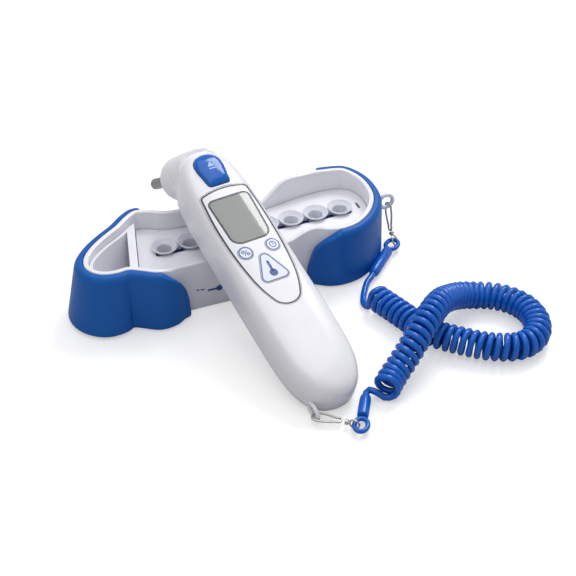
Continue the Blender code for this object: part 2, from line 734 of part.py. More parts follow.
def face_parts(front, mats, handset):
    """Overlay, display and keys, each in its own opening of the front shell."""
    outline = list(reversed(OVERLAY))
    boolean(front, plate("overlay_recess", rounded_polygon(grow(outline, GAP)), RECESS, 5,
                         parent=handset, cutter=True))
    overlay = plate("keypad_overlay", rounded_polygon(outline), RECESS + GAP, -0.15, mats["overlay"],
                    handset)

    window = plate("display_window", rounded_polygon(grow(DISPLAY[::-1], GAP)), -10, 5,
                   parent=handset, cutter=True)
    boolean(overlay, window)
    sight = plate("display_sight", rounded_polygon(grow(DISPLAY[::-1], -1.2)), -10, 5,
                  parent=handset, cutter=True)
    boolean(front, sight)
    plate("display_lens", rounded_polygon(DISPLAY[::-1]), RECESS + GAP, -0.2, mats["lens"], handset)
    box("display_panel", (-12.6, 91.5, -6.2), (12.6, 123.5, -3.9), mats["display"], handset)

    keys = {"scan": rounded_polygon(SCAN_KEY),
            "unit": circle_outline(-SMALL_KEY_X, SMALL_KEY_Y, SMALL_KEY_R),
            "timer": circle_outline(SMALL_KEY_X, SMALL_KEY_Y, SMALL_KEY_R)}
    openings = {"scan": rounded_polygon(grow(SCAN_KEY, GAP)),
                "unit": circle_outline(-SMALL_KEY_X, SMALL_KEY_Y, SMALL_KEY_R + GAP),
                "timer": circle_outline(SMALL_KEY_X, SMALL_KEY_Y, SMALL_KEY_R + GAP)}
    for name, outline in keys.items():
        hole = plate(name + "_hole", openings[name], -10, 5, parent=handset, cutter=True)
        boolean(front, hole)
        boolean(overlay, hole)
        plate(name + "_button", outline, -4.6, 0.15, mats["key"], handset)
    apply_modifiers(overlay)


def eject_cap(front, mat, handset):
    """The blue cap in the head's face, domed, with a stem that reaches the yoke."""
    boolean(front, plate("eject_opening", rounded_polygon(grow(EJECT_CAP, GAP)), -12, 8, parent=handset,
                         cutter=True))
    rings = []
    outline = rounded_polygon(EJECT_CAP)
    cx, cy = 0.0, 143.5
    for share, height in ((1.0, -5.0), (1.0, -1.5), (0.985, 0.4), (0.93, 1.4), (0.8, 2.1), (0.6, 2.5),
                          (0.3, 2.6)):
        rings.append([(cx + (x - cx) * share, cy + (y - cy) * share, height) for x, y in outline])
    cap = grid_solid("eject_button", rings, mat, handset)
    stem = cylinder("eject_stem", 2.4, -8.2, -4.5, cutter=True, parent=handset, segments=20)
    stem.location = (0, 139.3 * MM, 0)
    boolean(cap, stem, "UNION")
    apply_modifiers(cap)


def probe_assembly(mats, handset):
    """Everything on the probe's axis; local Z of PROBE runs from the face out to the tip."""
    blade_low, blade_high = 5.6, 7.6            # the yoke's blade, beside the axis on the tail side
    cone = [(3.65, 66.0), (4.3, 66.0), (4.6, 65.6), (6.9, 62.2), (7.6, 60.8), (11.6, 49.4), (12.0, 48.6),
            (12.0, 47.4), (10.5, 47.4), (10.5, 41.0), (9.2, 41.0), (9.2, 48.0), (6.2, 59.8), (3.65, 61.6)]
    turned("eject_sleeve", cone, mats["white"], PROBE, segments=24)

    yoke = turned("eject_yoke", [(5.7, 40.7), (10.4, 40.7), (10.4, 38.2), (5.7, 38.2)], mats["frame"],
                  PROBE, segments=20)
    blade = box("yoke_blade", (-2.0, blade_low, 6.6), (2.0, blade_high, 40.0), parent=PROBE, cutter=True)
    boolean(yoke, blade, "UNION")
    apply_modifiers(yoke)

    frame = turned("probe_frame", [(3.7, 55.8), (6.7, 55.8), (6.7, 54.3), (5.2, 54.3), (5.2, 29.4),
                                   (10.4, 29.4), (10.4, 26.6), (3.7, 26.6)], mats["frame"], PROBE,
                   segments=20)
    notch = box("blade_notch", (-2.0 - GAP, blade_low - GAP, 20), (2.0 + GAP, 14, 40), parent=PROBE,
                cutter=True)
    boolean(frame, notch)
    apply_modifiers(frame)

    tip = [(2.5, TIP_END), (3.0, TIP_END), (3.3, TIP_END - 0.4), (3.3, 36.5), (2.5, 36.5)]
    turned("probe_tip", tip, mats["steel"], PROBE, segments=20)
    turned("sensor_window", [(0, TIP_END - 0.8), (2.1, TIP_END - 0.8), (2.1, TIP_END - 1.8),
                             (0, TIP_END - 1.8)], mats["dark"], PROBE, segments=20)
    turned("sensor_can", [(0, 36.0), (2.7, 36.0), (2.7, 31.0), (0, 31.0)], mats["steel"], PROBE,
           segments=24)
    turns, per_turn = 4, 10
    coil = [(6.4 * cos(2 * pi * i / per_turn), 6.4 * sin(2 * pi * i / per_turn),
             41.6 + 11.8 * i / (turns * per_turn)) for i in range(turns * per_turn + 1)]
    tube("eject_spring", coil, 0.8, mats["steel"], PROBE, detail=1)


def electronics(mats, handset):
    """Board, buzzer, batteries and their contacts, all clear of the shells."""
    board = [(-15.5, 72.5, 4), (15.5, 72.5, 4), (15, 118, 4), (-15, 118, 4)]
    plate("circuit_board", rounded_polygon(board), -8.2, -7.0, mats["board"], handset)
    disc = cylinder("buzzer", 6.0, -11.6, -8.5, mats["dark"], handset, segments=24)
    disc.location = (0, 108 * MM, 0)
    for number, x in enumerate((-11.4, 0, 11.4), 1):
        profile = [(0, 22.7), (1.9, 22.7), (1.9, 21.9), (5.2, 21.9), (5.25, 21.5), (5.25, -21.8), (0, -21.8)]
        cell = turned(f"battery_{number}", profile, mats["battery"], handset, segments=20)
        cell.rotation_euler = (radians(-90), 0, 0)
        cell.location = (x * MM, 46 * MM, -13.6 * MM)
    for number, y in enumerate((21.9, 70.1), 1):
        box(f"battery_contact_{number}", (-15, y, -18.0), (15, y + 0.6, -10), mats["steel"], handset)


def back_parts(back, mats, handset):
    """Battery door on the underside, the tail's eyelet and the case screws."""
    slope = atan2(UNDER_FALL, 1)
    door = frame_empty("door_frame", (0, 0, UNDER_TAIL), (-slope, 0, 0), handset)
    opening = [(-11, 27, 2), (11, 27, 2), (11, 67, 2), (-11, 67, 2)]
    boolean(back, plate("door_opening", rounded_polygon(opening), -4, 6, parent=door, cutter=True))
    lid = [(-13, 24, 3), (13, 24, 3), (13, 70, 3), (-13, 70, 3)]
    plate("battery_door", rounded_polygon(lid), -GAP - 1.5, -GAP, mats["white"], door, bevel=0.5)

    for number, y in enumerate((84, 128), 1):
        hole = cylinder(f"case_hole_{number}", 2.3 + GAP, -3, 1.5, cutter=True, parent=door, segments=20)
        hole.location = (0, y * MM, 0)
        boolean(back, hole)
        screw_head(f"case_screw_{number}", (0, y, 1.2), mats["steel"], door, radius=2.3, thick=1.2)
    tube("tail_eyelet", ring_points(TAIL_EYELET, (0, -1, 0), (0, 0, 1), 3.2, 2.9, 18), 2.2,
         mats["white"], handset, closed=True)


# ---------------------------------------------------------------- tether

def snap_points(top, bottom, normal, width):
    """A wire snap's closed loop: a wide bow at the top that pinches above the swivel."""
    top, bottom = Vector(top), Vector(bottom)
    along = (bottom - top).normalized()
    side = along.cross(Vector(normal)).normalized()
    length = (bottom - top).length
    half = [(0.0, 0.55), (0.1, 0.9), (0.3, 1.0), (0.52, 0.72), (0.7, 0.34), (0.8, 0.62), (0.92, 0.6),
            (1.0, 0.22)]
    right = [top + along * length * t + side * width / 2 * w for t, w in half]
    left = [top + along * length * t - side * width / 2 * w for t, w in reversed(half)]
    return smooth_path(right + left, 1.5, closed=True)


def swivel(name, ring_centre, along, strand, mat, head_r=1.5, ring_r=2.6):
    """A riveted barrel with a small ring at its far end that holds the cord's eye."""
    barrel_long = 2.8
    along = Vector(along).normalized()
    start = Vector(ring_centre) - along * (barrel_long + ring_r - 0.4)
    barrel = turned(name, [(0, barrel_long), (0.8, barrel_long), (0.8, 1.6), (head_r, 1.6), (head_r, 0.0),
                           (0, 0.0)], mat, segments=12)
    barrel.location = start * MM
    across = along.cross(Vector(strand)).normalized()
    turn = Matrix((across, along.cross(across), along)).transposed()
    barrel.rotation_euler = turn.to_euler()
    apply_modifiers(barrel)
    loop = [(ring_r * cos(2 * pi * i / 14), 0, barrel_long + ring_r - 0.4 + ring_r * sin(2 * pi * i / 14))
            for i in range(14)]
    ring = tube(name + "_ring", loop, 1.0, mat, barrel, closed=True, detail=1)
    PARTS.objects.unlink(ring)
    CUTTERS.objects.link(ring)
    ring.hide_render = True
    ring.display_type = "WIRE"
    bpy.context.view_layer.update()
    boolean(barrel, ring, "UNION")
    apply_modifiers(barrel)


def tether(mats):
    """Snap, swivel, eye and sleeve at each end, with the lead and the curly cord between."""
    cord, steel = mats["cord"], mats["steel"]
    tube("base_snap", snap_points(*BASE_SNAP, (1, 0.2, 0), 6.2), WIRE_D, steel, closed=True, detail=1)
    swivel("base_swivel", *BASE_SWIVEL, steel, ring_r=3.2)
    toward = (Vector(BASE_SLEEVE[0]) - Vector(BASE_EYE)).normalized()
    eye_loop("cord_eye_base", BASE_EYE, toward, cord)
    tube("cord_sleeve_base", smooth_path(BASE_SLEEVE, 6), SLEEVE_D, cord)
    tube("cord_lead_base", smooth_path(LEAD_ROUTE, 5), STRAND_D, cord)
    tube("cord_coil", smooth_path(COIL_ROUTE, 10), COIL_D, cord, detail=3)
    tube("cord_lead_tail", smooth_path(TAIL_LEAD, 3), STRAND_D, cord)
    tube("cord_sleeve_tail", smooth_path(TAIL_SLEEVE, 6), SLEEVE_D, cord)
    toward = (Vector(TAIL_SLEEVE[1]) - Vector(TAIL_EYE)).normalized()
    eye_loop("cord_eye_tail", TAIL_EYE, toward, cord)
    swivel("tail_swivel", *TAIL_SWIVEL, steel)
    tube("tail_snap", snap_points(*TAIL_SNAP, (0, 0, 1), 6.2), WIRE_D, steel, closed=True, detail=1)


def eye_loop(name, centre, toward, mat):
    """The cord's closed eye, a flat loop drawn out towards its sleeve."""
    toward = Vector(toward)
    side = toward.cross(Vector((0, 0, 1))).normalized()
    tube(name, ring_points(centre, toward, side, 4.6, 3.4, 18), STRAND_D, mat, closed=True)


def main():
    white = material("white_abs", (0.86, 0.86, 0.90), 0.28)
    mats = {"white": white,
            "overlay": material("overlay_film", (0.88, 0.88, 0.91), 0.22),
            "lens": material("clear_lens", (0.75, 0.78, 0.74), 0.05, transmission=0.8),
            "display": material("display_grey", (0.45, 0.48, 0.45), 0.3),
            "key": material("key_white", (0.80, 0.83, 0.90), 0.3),
            "cap": material("button_blue", (0.01, 0.09, 0.48), 0.12),
            "frame": material("frame_grey", (0.25, 0.26, 0.28), 0.5),
            "steel": material("steel", (0.62, 0.60, 0.56), 0.3, 1.0),
            "dark": material("dark_plastic", (0.02, 0.02, 0.025), 0.35),
            "board": material("board_green", (0.02, 0.16, 0.07), 0.5),
            "battery": material("battery_wrap", (0.10, 0.11, 0.13), 0.35),
            "soft": material("soft_blue", (0.01, 0.08, 0.36), 0.45),
            "cassette": material("cassette_blue", (0.02, 0.06, 0.25), 0.4),
            "cover": material("cover_film", (0.80, 0.82, 0.90), 0.3),
            "rubber": material("foot_rubber", (0.05, 0.05, 0.055), 0.8),
            "cord": material("cord_blue", (0.01, 0.09, 0.50), 0.2)}
    base_shell(white)
    base_bottom(white, mats["rubber"], mats["steel"])
    deck_and_pocket(white)
    cover_row(mats["cassette"], mats["cover"])
    end_covers(mats["soft"])
    base_eyelet(white)

    front, back = shells(white, HANDSET)
    face_parts(front, mats, HANDSET)
    eject_cap(front, mats["cap"], HANDSET)
    apply_modifiers(front)
    back_parts(back, mats, HANDSET)
    apply_modifiers(back)
    probe_assembly(mats, HANDSET)
    electronics(mats, HANDSET)
    tether(mats)


clear_scene()
PARTS = collection("ear_thermometer")
CUTTERS = collection("cutters")
HANDSET = frame_empty("handset_frame", HANDSET_PLACE, (radians(HANDSET_TILT), 0, radians(HANDSET_YAW)))
PROBE = frame_empty("probe_frame_axis", (0, AXIS_Y, 0), (radians(180 + AXIS_LEAN), 0, 0), HANDSET)
bpy.context.view_layer.update()
main()
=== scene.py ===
from bisect import bisect_left
from math import acos, atan2, cos, hypot, pi, radians, sin, sqrt

import bmesh
import bpy
from mathutils import Matrix, Vector
from mathutils.bvhtree import BVHTree


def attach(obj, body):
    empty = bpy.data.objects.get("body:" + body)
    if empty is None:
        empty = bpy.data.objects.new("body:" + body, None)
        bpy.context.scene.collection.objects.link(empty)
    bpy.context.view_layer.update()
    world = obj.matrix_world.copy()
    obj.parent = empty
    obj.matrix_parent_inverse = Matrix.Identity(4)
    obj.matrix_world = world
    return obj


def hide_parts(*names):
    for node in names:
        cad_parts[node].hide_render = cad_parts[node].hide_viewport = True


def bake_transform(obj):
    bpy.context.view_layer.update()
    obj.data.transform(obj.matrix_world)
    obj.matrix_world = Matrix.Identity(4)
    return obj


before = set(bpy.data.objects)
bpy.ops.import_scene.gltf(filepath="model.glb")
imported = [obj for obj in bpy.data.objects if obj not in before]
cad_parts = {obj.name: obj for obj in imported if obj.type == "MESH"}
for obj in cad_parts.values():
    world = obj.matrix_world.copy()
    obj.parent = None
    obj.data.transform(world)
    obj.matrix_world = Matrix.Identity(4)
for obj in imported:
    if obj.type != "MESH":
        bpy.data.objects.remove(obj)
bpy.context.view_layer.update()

mm = 0.001
gap = 0.3            # clearance between neighbouring pieces, in millimetres
sceneParts = bpy.context.scene.collection


# every finish is built from the same few nodes

def finish(name, colour, other, roughness, roughSpread=0.04, patch=6.0, grain=0.0, grainDepth=0.0, **sockets):
    # colour and other are mixed in soft patches, grain is a fine bump; sizes in millimetres
    made = bpy.data.materials.new(name)
    made.use_nodes = True
    nodes, links = made.node_tree.nodes, made.node_tree.links
    shader = nodes["Principled BSDF"]
    for socket, value in sockets.items():
        shader.inputs[socket.replace("_", " ")].default_value = value
    place = nodes.new("ShaderNodeTexCoord")
    patches = nodes.new("ShaderNodeTexNoise")
    patches.inputs["Scale"].default_value = 1 / (patch * mm)
    patches.inputs["Detail"].default_value = 3
    links.new(place.outputs["Object"], patches.inputs["Vector"])
    tint = nodes.new("ShaderNodeMix")
    tint.data_type = "RGBA"
    tint.inputs["A"].default_value = (*colour, 1)
    tint.inputs["B"].default_value = (*other, 1)
    links.new(patches.outputs["Fac"], tint.inputs["Factor"])
    links.new(tint.outputs["Result"], shader.inputs["Base Color"])
    spread = nodes.new("ShaderNodeMapRange")
    spread.inputs["To Min"].default_value = roughness - roughSpread
    spread.inputs["To Max"].default_value = roughness + roughSpread
    links.new(patches.outputs["Fac"], spread.inputs["Value"])
    links.new(spread.outputs["Result"], shader.inputs["Roughness"])
    if grain:
        fine = nodes.new("ShaderNodeTexNoise")
        fine.inputs["Scale"].default_value = 1 / (grain * mm)
        fine.inputs["Detail"].default_value = 2
        links.new(place.outputs["Object"], fine.inputs["Vector"])
        bump = nodes.new("ShaderNodeBump")
        bump.inputs["Distance"].default_value = grainDepth * mm
        bump.inputs["Strength"].default_value = 0.6
        links.new(fine.outputs["Fac"], bump.inputs["Height"])
        links.new(bump.outputs["Normal"], shader.inputs["Normal"])
    return made


whiteGloss = finish("whiteGloss", (0.80, 0.80, 0.86), (0.84, 0.84, 0.89), 0.2, 0.03, 9, 5, 0.02,
                    Coat_Weight=0.25, Coat_Roughness=0.08, Specular_IOR_Level=0.5)
whiteDeck = finish("whiteDeck", (0.78, 0.78, 0.84), (0.82, 0.82, 0.87), 0.34, 0.05, 7, 0.5, 0.02)
softBlue = finish("softBlue", (0.001, 0.095, 0.41), (0.001, 0.11, 0.45), 0.42, 0.05, 5, 0.35, 0.03,
                  Specular_IOR_Level=0.28)
cassetteBlue = finish("cassetteBlue", (0.010, 0.045, 0.22), (0.014, 0.055, 0.26), 0.36, 0.05, 4, 0.4,
                      0.02)
buttonBlue = finish("buttonBlue", (0.001, 0.10, 0.46), (0.001, 0.12, 0.52), 0.14, 0.03, 4, 3, 0.01,
                    Specular_IOR_Level=0.35, Coat_Weight=0.25, Coat_Roughness=0.05)
cordBlue = finish("cordBlue", (0.001, 0.105, 0.52), (0.001, 0.125, 0.58), 0.22, 0.04, 3, 0.8, 0.02,
                  Specular_IOR_Level=0.4, Coat_Weight=0.15, Coat_Roughness=0.1)
coverFilm = finish("coverFilm", (0.80, 0.83, 0.92), (0.86, 0.88, 0.95), 0.22, 0.05, 2.5, 0.8, 0.03,
                   Transmission_Weight=0.18, IOR=1.46, Coat_Weight=0.3, Coat_Roughness=0.1)
faceFilm = finish("faceFilm", (0.80, 0.80, 0.86), (0.82, 0.82, 0.87), 0.3, 0.03, 8, 0.25, 0.01)
keyRubber = finish("keyRubber", (0.72, 0.76, 0.86), (0.76, 0.79, 0.88), 0.38, 0.05, 2, 0.3, 0.015)
clearLens = finish("clearLens", (0.31, 0.33, 0.32), (0.33, 0.35, 0.34), 0.1, 0.02, 6, Alpha=0.78,
                   Coat_Weight=0.8, Coat_Roughness=0.02)
displayGrey = finish("displayGrey", (0.30, 0.32, 0.31), (0.33, 0.35, 0.34), 0.3, 0.04, 3, 0.3, 0.01)
inkGrey = finish("inkGrey", (0.045, 0.05, 0.065), (0.055, 0.06, 0.075), 0.4, 0.05, 1.5, 0.2, 0.005)
inkBlue = finish("inkBlue", (0.03, 0.09, 0.28), (0.035, 0.10, 0.32), 0.4, 0.05, 1.5, 0.2, 0.005)
iconPale = finish("iconPale", (0.30, 0.45, 0.80), (0.34, 0.50, 0.84), 0.25, 0.04, 1.5, 0.2, 0.005)
frameGrey = finish("frameGrey", (0.22, 0.23, 0.25), (0.26, 0.27, 0.29), 0.5, 0.05, 5, 0.4, 0.03)
darkPlastic = finish("darkPlastic", (0.018, 0.018, 0.022), (0.024, 0.024, 0.028), 0.4, 0.06, 3, 0.3, 0.02)
footRubber = finish("footRubber", (0.040, 0.040, 0.043), (0.052, 0.052, 0.055), 0.8, 0.06, 2, 0.3, 0.05)
boardGreen = finish("boardGreen", (0.012, 0.13, 0.055), (0.02, 0.18, 0.08), 0.42, 0.06, 3, 1.2, 0.05)
cellWrap = finish("cellWrap", (0.08, 0.085, 0.10), (0.10, 0.105, 0.12), 0.32, 0.05, 8, 0.5, 0.01)
tipSteel = finish("tipSteel", (0.24, 0.23, 0.21), (0.30, 0.29, 0.27), 0.34, 0.08, 1.2, 0.25, 0.02,
                  Metallic=0.9)
brightSteel = finish("brightSteel", (0.55, 0.53, 0.50), (0.66, 0.64, 0.61), 0.24, 0.08, 1.2, 0.25, 0.02,
                     Metallic=1.0)


# mesh helpers, all in millimetres until a piece is finished

def linkMesh(name, mesh):
    ob = bpy.data.objects.new(name, mesh)
    sceneParts.objects.link(ob)
    return ob


def closeMesh(bm, name):
    bmesh.ops.recalc_face_normals(bm, faces=bm.faces)
    mesh = bpy.data.meshes.new(name)
    bm.to_mesh(mesh)
    bm.free()
    return mesh


def finishPiece(ob, material, place=None, body=None, nodes=(), sharp=35):
    # puts the piece into metres at its place, shades it and hands it to the frame
    ob.data.transform((place or Matrix.Identity(4)) @ Matrix.Scale(mm, 4))
    ob.data.materials.clear()
    ob.data.materials.append(material)
    ob.data.shade_smooth()
    ob.data.set_sharp_from_angle(angle=radians(sharp))
    if body:
        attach(ob, body)
    if nodes:
        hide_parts(*nodes)
    return ob


def bake(ob):
    # turns the object's modifiers into plain mesh
    bpy.context.view_layer.update()
    evaluated = ob.evaluated_get(bpy.context.evaluated_depsgraph_get())
    mesh = bpy.data.meshes.new_from_object(evaluated)
    ob.modifiers.clear()
    ob.data = mesh
    return ob


def dropObjects(*objects):
    for ob in objects:
        bpy.data.objects.remove(ob, do_unlink=True)


def placed(ob, matrix):
    ob.data.transform(matrix)
    return ob


def merged(name, objects):
    # several closed pieces as one; the pieces are used up
    bm = bmesh.new()
    for ob in objects:
        bm.from_mesh(ob.data)
    dropObjects(*objects)
    return linkMesh(name, closeMesh(bm, name))


def cut(ob, cutters, operation="DIFFERENCE"):
    # one exact cut with several cutters at once; the cutters are used up
    group = bpy.data.collections.new("cutters")
    for cutter in cutters:
        group.objects.link(cutter)
    modifier = ob.modifiers.new("Cut", "BOOLEAN")
    modifier.operation = operation
    modifier.solver = "EXACT"
    if len(cutters) == 1:
        modifier.object = cutters[0]
    else:
        modifier.operand_type = "COLLECTION"
        modifier.collection = group
    bake(ob)
    dropObjects(*cutters)
    bpy.data.collections.remove(group)
    return ob


def loft(name, rings, wrap=False, cap=True):
    # rings of equal count joined into a closed skin
    bm = bmesh.new()
    rows = [[bm.verts.new(p) for p in ring] for ring in rings]
    count = len(rings[0])
    pairs = list(zip(rows, rows[1:])) + ([(rows[-1], rows[0])] if wrap else [])
    for lower, upper in pairs:
        for i in range(count):
            j = (i + 1) % count
            bm.faces.new((lower[i], lower[j], upper[j], upper[i]))
    if cap and not wrap:
        bm.faces.new(rows[0])
        bm.faces.new(rows[-1])
    bmesh.ops.remove_doubles(bm, verts=bm.verts, dist=0.005)
    return linkMesh(name, closeMesh(bm, name))


def lathe(name, profile, segments=64):
    # turns (radius, height) points about the local upright axis
    rings = []
    for r, z in profile:
        rings.append([(r * cos(2 * pi * i / segments), r * sin(2 * pi * i / segments), z)
                      for i in range(segments)])
    return loft(name, rings, wrap=profile[0][0] > 0, cap=False)


def block(name, low, high, bevel=0.0):
    bm = bmesh.new()
    bmesh.ops.create_cube(bm, size=1.0)
    bmesh.ops.scale(bm, vec=[b - a for a, b in zip(low, high)], verts=bm.verts)
    bmesh.ops.translate(bm, vec=[(a + b) / 2 for a, b in zip(low, high)], verts=bm.verts)
    if bevel:
        bmesh.ops.bevel(bm, geom=list(bm.edges), offset=bevel, segments=4, affect="EDGES", profile=0.5)
    return linkMesh(name, closeMesh(bm, name))


def prism(name, outline, low, high, holes=()):
    # a filled flat outline, with holes, extruded between two heights
    curve = bpy.data.curves.new(name, "CURVE")
    curve.dimensions = "2D"
    curve.fill_mode = "BOTH"
    curve.extrude = (high - low) / 2
    for line in (outline, *holes):
        spline = curve.splines.new("POLY")
        spline.points.add(len(line) - 1)
        for target, point in zip(spline.points, line):
            target.co = (point[0], point[1], 0, 1)
        spline.use_cyclic_u = True
    guide = linkMesh(name + "Guide", curve)
    bpy.context.view_layer.update()
    mesh = bpy.data.meshes.new_from_object(guide.evaluated_get(bpy.context.evaluated_depsgraph_get()))
    dropObjects(guide)
    bm = bmesh.new()
    bm.from_mesh(mesh)
    bmesh.ops.remove_doubles(bm, verts=bm.verts, dist=0.002)
    bmesh.ops.translate(bm, vec=(0, 0, (high + low) / 2), verts=bm.verts)
    return linkMesh(name, closeMesh(bm, name))


def roundEdges(ob, width, segments=3, angle=40):
    rounding = ob.modifiers.new("Rounding", "BEVEL")
    rounding.width = width
    rounding.segments = segments
    rounding.limit_method = "ANGLE"
    rounding.angle_limit = radians(angle)
    rounding.use_clamp_overlap = True
    return bake(ob)


def smoothPath(points, spacing, closed=False):
    # evenly spaced points on a Catmull-Rom curve through the given ones
    pts = [Vector(p) for p in points]
    count = len(pts)
    fine = []
    for i in range(count if closed else count - 1):
        if closed:
            p0, p1, p2, p3 = (pts[(i + k) % count] for k in (-1, 0, 1, 2))
        else:
            p1, p2 = pts[i], pts[i + 1]
            p0 = pts[i - 1] if i else p1 * 2 - p2
            p3 = pts[i + 2] if i + 2 < count else p2 * 2 - p1
        for k in range(20):
            t = k / 20
            fine.append(0.5 * (2 * p1 + (p2 - p0) * t + (2 * p0 - 5 * p1 + 4 * p2 - p3) * t * t
                               + (3 * p1 - p0 - 3 * p2 + p3) * t ** 3))
    fine.append(pts[0] if closed else pts[-1])
    run = [0.0]
    for a, b in zip(fine, fine[1:]):
        run.append(run[-1] + (b - a).length)
    steps = max(2, round(run[-1] / spacing))
    result = []
    for i in range(steps if closed else steps + 1):
        want = run[-1] * i / steps
        k = min(max(1, bisect_left(run, want)), len(fine) - 1)
        result.append(fine[k - 1].lerp(fine[k], (want - run[k - 1]) / max(1e-9, run[k] - run[k - 1])))
    return result


def roundedPolygon(corners, steps=10):
    # a closed outline with an arc at each (x, y, radius) corner
    result = []
    for i, (x, y, radius) in enumerate(corners):
        here = Vector((x, y))
        before = (Vector(corners[i - 1][:2]) - here).normalized()
        after = (Vector(corners[(i + 1) % len(corners)][:2]) - here).normalized()
        half = acos(max(-1, min(1, before.dot(after)))) / 2
        reach = radius / max(0.05, abs(sin(half) / cos(half)))
        centre = here + (before + after).normalized() * hypot(reach, radius)
        a0 = atan2(*(here + before * reach - centre).yx)
        a1 = atan2(*(here + after * reach - centre).yx)
        sweep = (a1 - a0 + pi) % (2 * pi) - pi
        for k in range(steps + 1):
            angle = a0 + sweep * k / steps
            result.append(tuple(centre + radius * Vector((cos(angle), sin(angle)))))
    return result


def grow(corners, amount):
    # the same corners, moved out by an amount on every side
    result = []
    for i, (x, y, radius) in enumerate(corners):
        here = Vector((x, y))
        before = (Vector(corners[i - 1][:2]) - here).normalized()
        after = (Vector(corners[(i + 1) % len(corners)][:2]) - here).normalized()
        half = acos(max(-1, min(1, before.dot(after)))) / 2
        out = -(before + after).normalized() * (amount / sin(half))
        result.append((x + out.x, y + out.y, max(0.2, radius + amount)))
    return result


def circle(x, y, radius, steps=40):
    return [(x + radius * cos(2 * pi * i / steps), y + radius * sin(2 * pi * i / steps))
            for i in range(steps)]


def bar(x0, y0, x1, y1, wide):
    # a stroke with round ends
    along = Vector((x1 - x0, y1 - y0))
    start = atan2(along.y, along.x)
    r = wide / 2
    right = [(x1 + r * cos(start - pi / 2 + pi * i / 8), y1 + r * sin(start - pi / 2 + pi * i / 8))
             for i in range(9)]
    left = [(x0 + r * cos(start + pi / 2 + pi * i / 8), y0 + r * sin(start + pi / 2 + pi * i / 8))
            for i in range(9)]
    return right + left


# node trees for what repeats and for what follows a path

def newTree(name, sockets):
    tree = bpy.data.node_groups.new(name, "GeometryNodeTree")
    tree.interface.new_socket("Geometry", in_out="OUTPUT", socket_type="NodeSocketGeometry")
    tree.interface.new_socket("Geometry", in_out="INPUT", socket_type="NodeSocketGeometry")
    for label, kind, value in sockets:
        made = tree.interface.new_socket(label, in_out="INPUT", socket_type="NodeSocket" + kind)
        if value is not None:
            made.default_value = value
    return tree, tree.nodes.new("NodeGroupInput"), tree.nodes.new("NodeGroupOutput")


def endTree(tree, inputs, outputs, last):
    realize = tree.nodes.new("GeometryNodeRealizeInstances")
    paint = tree.nodes.new("GeometryNodeSetMaterial")
    tree.links.new(last, realize.inputs["Geometry"])
    tree.links.new(realize.outputs["Geometry"], paint.inputs["Geometry"])
    tree.links.new(inputs.outputs["Material"], paint.inputs["Material"])
    tree.links.new(paint.outputs["Geometry"], outputs.inputs["Geometry"])


def runTree(ob, tree, **values):
    modifier = ob.modifiers.new(tree.name, "NODES")
    modifier.node_group = tree
    for item in tree.interface.items_tree:
        if item.item_type == "SOCKET" and item.in_out == "INPUT" and item.name in values:
            modifier[item.identifier] = values[item.name]
    return bake(ob)


tubeTree, tubeIn, tubeOut = newTree("tubeAlongPath", [
    ("Radius", "Float", 1.0), ("Sides", "Int", 12), ("Caps", "Bool", True), ("Material", "Material", None)])
pathCurve = tubeTree.nodes.new("GeometryNodeMeshToCurve")
tubeProfile = tubeTree.nodes.new("GeometryNodeCurvePrimitiveCircle")
tubeSkin = tubeTree.nodes.new("GeometryNodeCurveToMesh")
tubeTree.links.new(tubeIn.outputs["Geometry"], pathCurve.inputs["Mesh"])
tubeTree.links.new(tubeIn.outputs["Radius"], tubeProfile.inputs["Radius"])
tubeTree.links.new(tubeIn.outputs["Sides"], tubeProfile.inputs["Resolution"])
tubeTree.links.new(pathCurve.outputs["Curve"], tubeSkin.inputs["Curve"])
tubeTree.links.new(tubeProfile.outputs["Curve"], tubeSkin.inputs["Profile Curve"])
tubeTree.links.new(tubeIn.outputs["Caps"], tubeSkin.inputs["Fill Caps"])
endTree(tubeTree, tubeIn, tubeOut, tubeSkin.outputs["Mesh"])

rowTree, rowIn, rowOut = newTree("rowOfParts", [
    ("Count", "Int", 4), ("Step", "Vector", (1, 0, 0)), ("Material", "Material", None)])
rowLine = rowTree.nodes.new("GeometryNodeMeshLine")
rowCopies = rowTree.nodes.new("GeometryNodeInstanceOnPoints")
rowTree.links.new(rowIn.outputs["Count"], rowLine.inputs["Count"])
rowTree.links.new(rowIn.outputs["Step"], rowLine.inputs["Offset"])
rowTree.links.new(rowLine.outputs["Mesh"], rowCopies.inputs["Points"])
rowTree.links.new(rowIn.outputs["Geometry"], rowCopies.inputs["Instance"])
endTree(rowTree, rowIn, rowOut, rowCopies.outputs["Instances"])


def pathTube(name, points, diameter, material, sides=16, closed=False):
    # a round tube along a list of points
    count = len(points)
    edges = [(i, i + 1) for i in range(count - 1)] + ([(count - 1, 0)] if closed else [])
    mesh = bpy.data.meshes.new(name)
    mesh.from_pydata([tuple(p) for p in points], edges, [])
    ob = linkMesh(name, mesh)
    runTree(ob, tubeTree, Radius=diameter / 2, Sides=sides, Caps=not closed, Material=material)
    bm = bmesh.new()
    bm.from_mesh(ob.data)
    bmesh.ops.remove_doubles(bm, verts=bm.verts, dist=0.001)
    ob.data = closeMesh(bm, name)
    return ob


# storage base

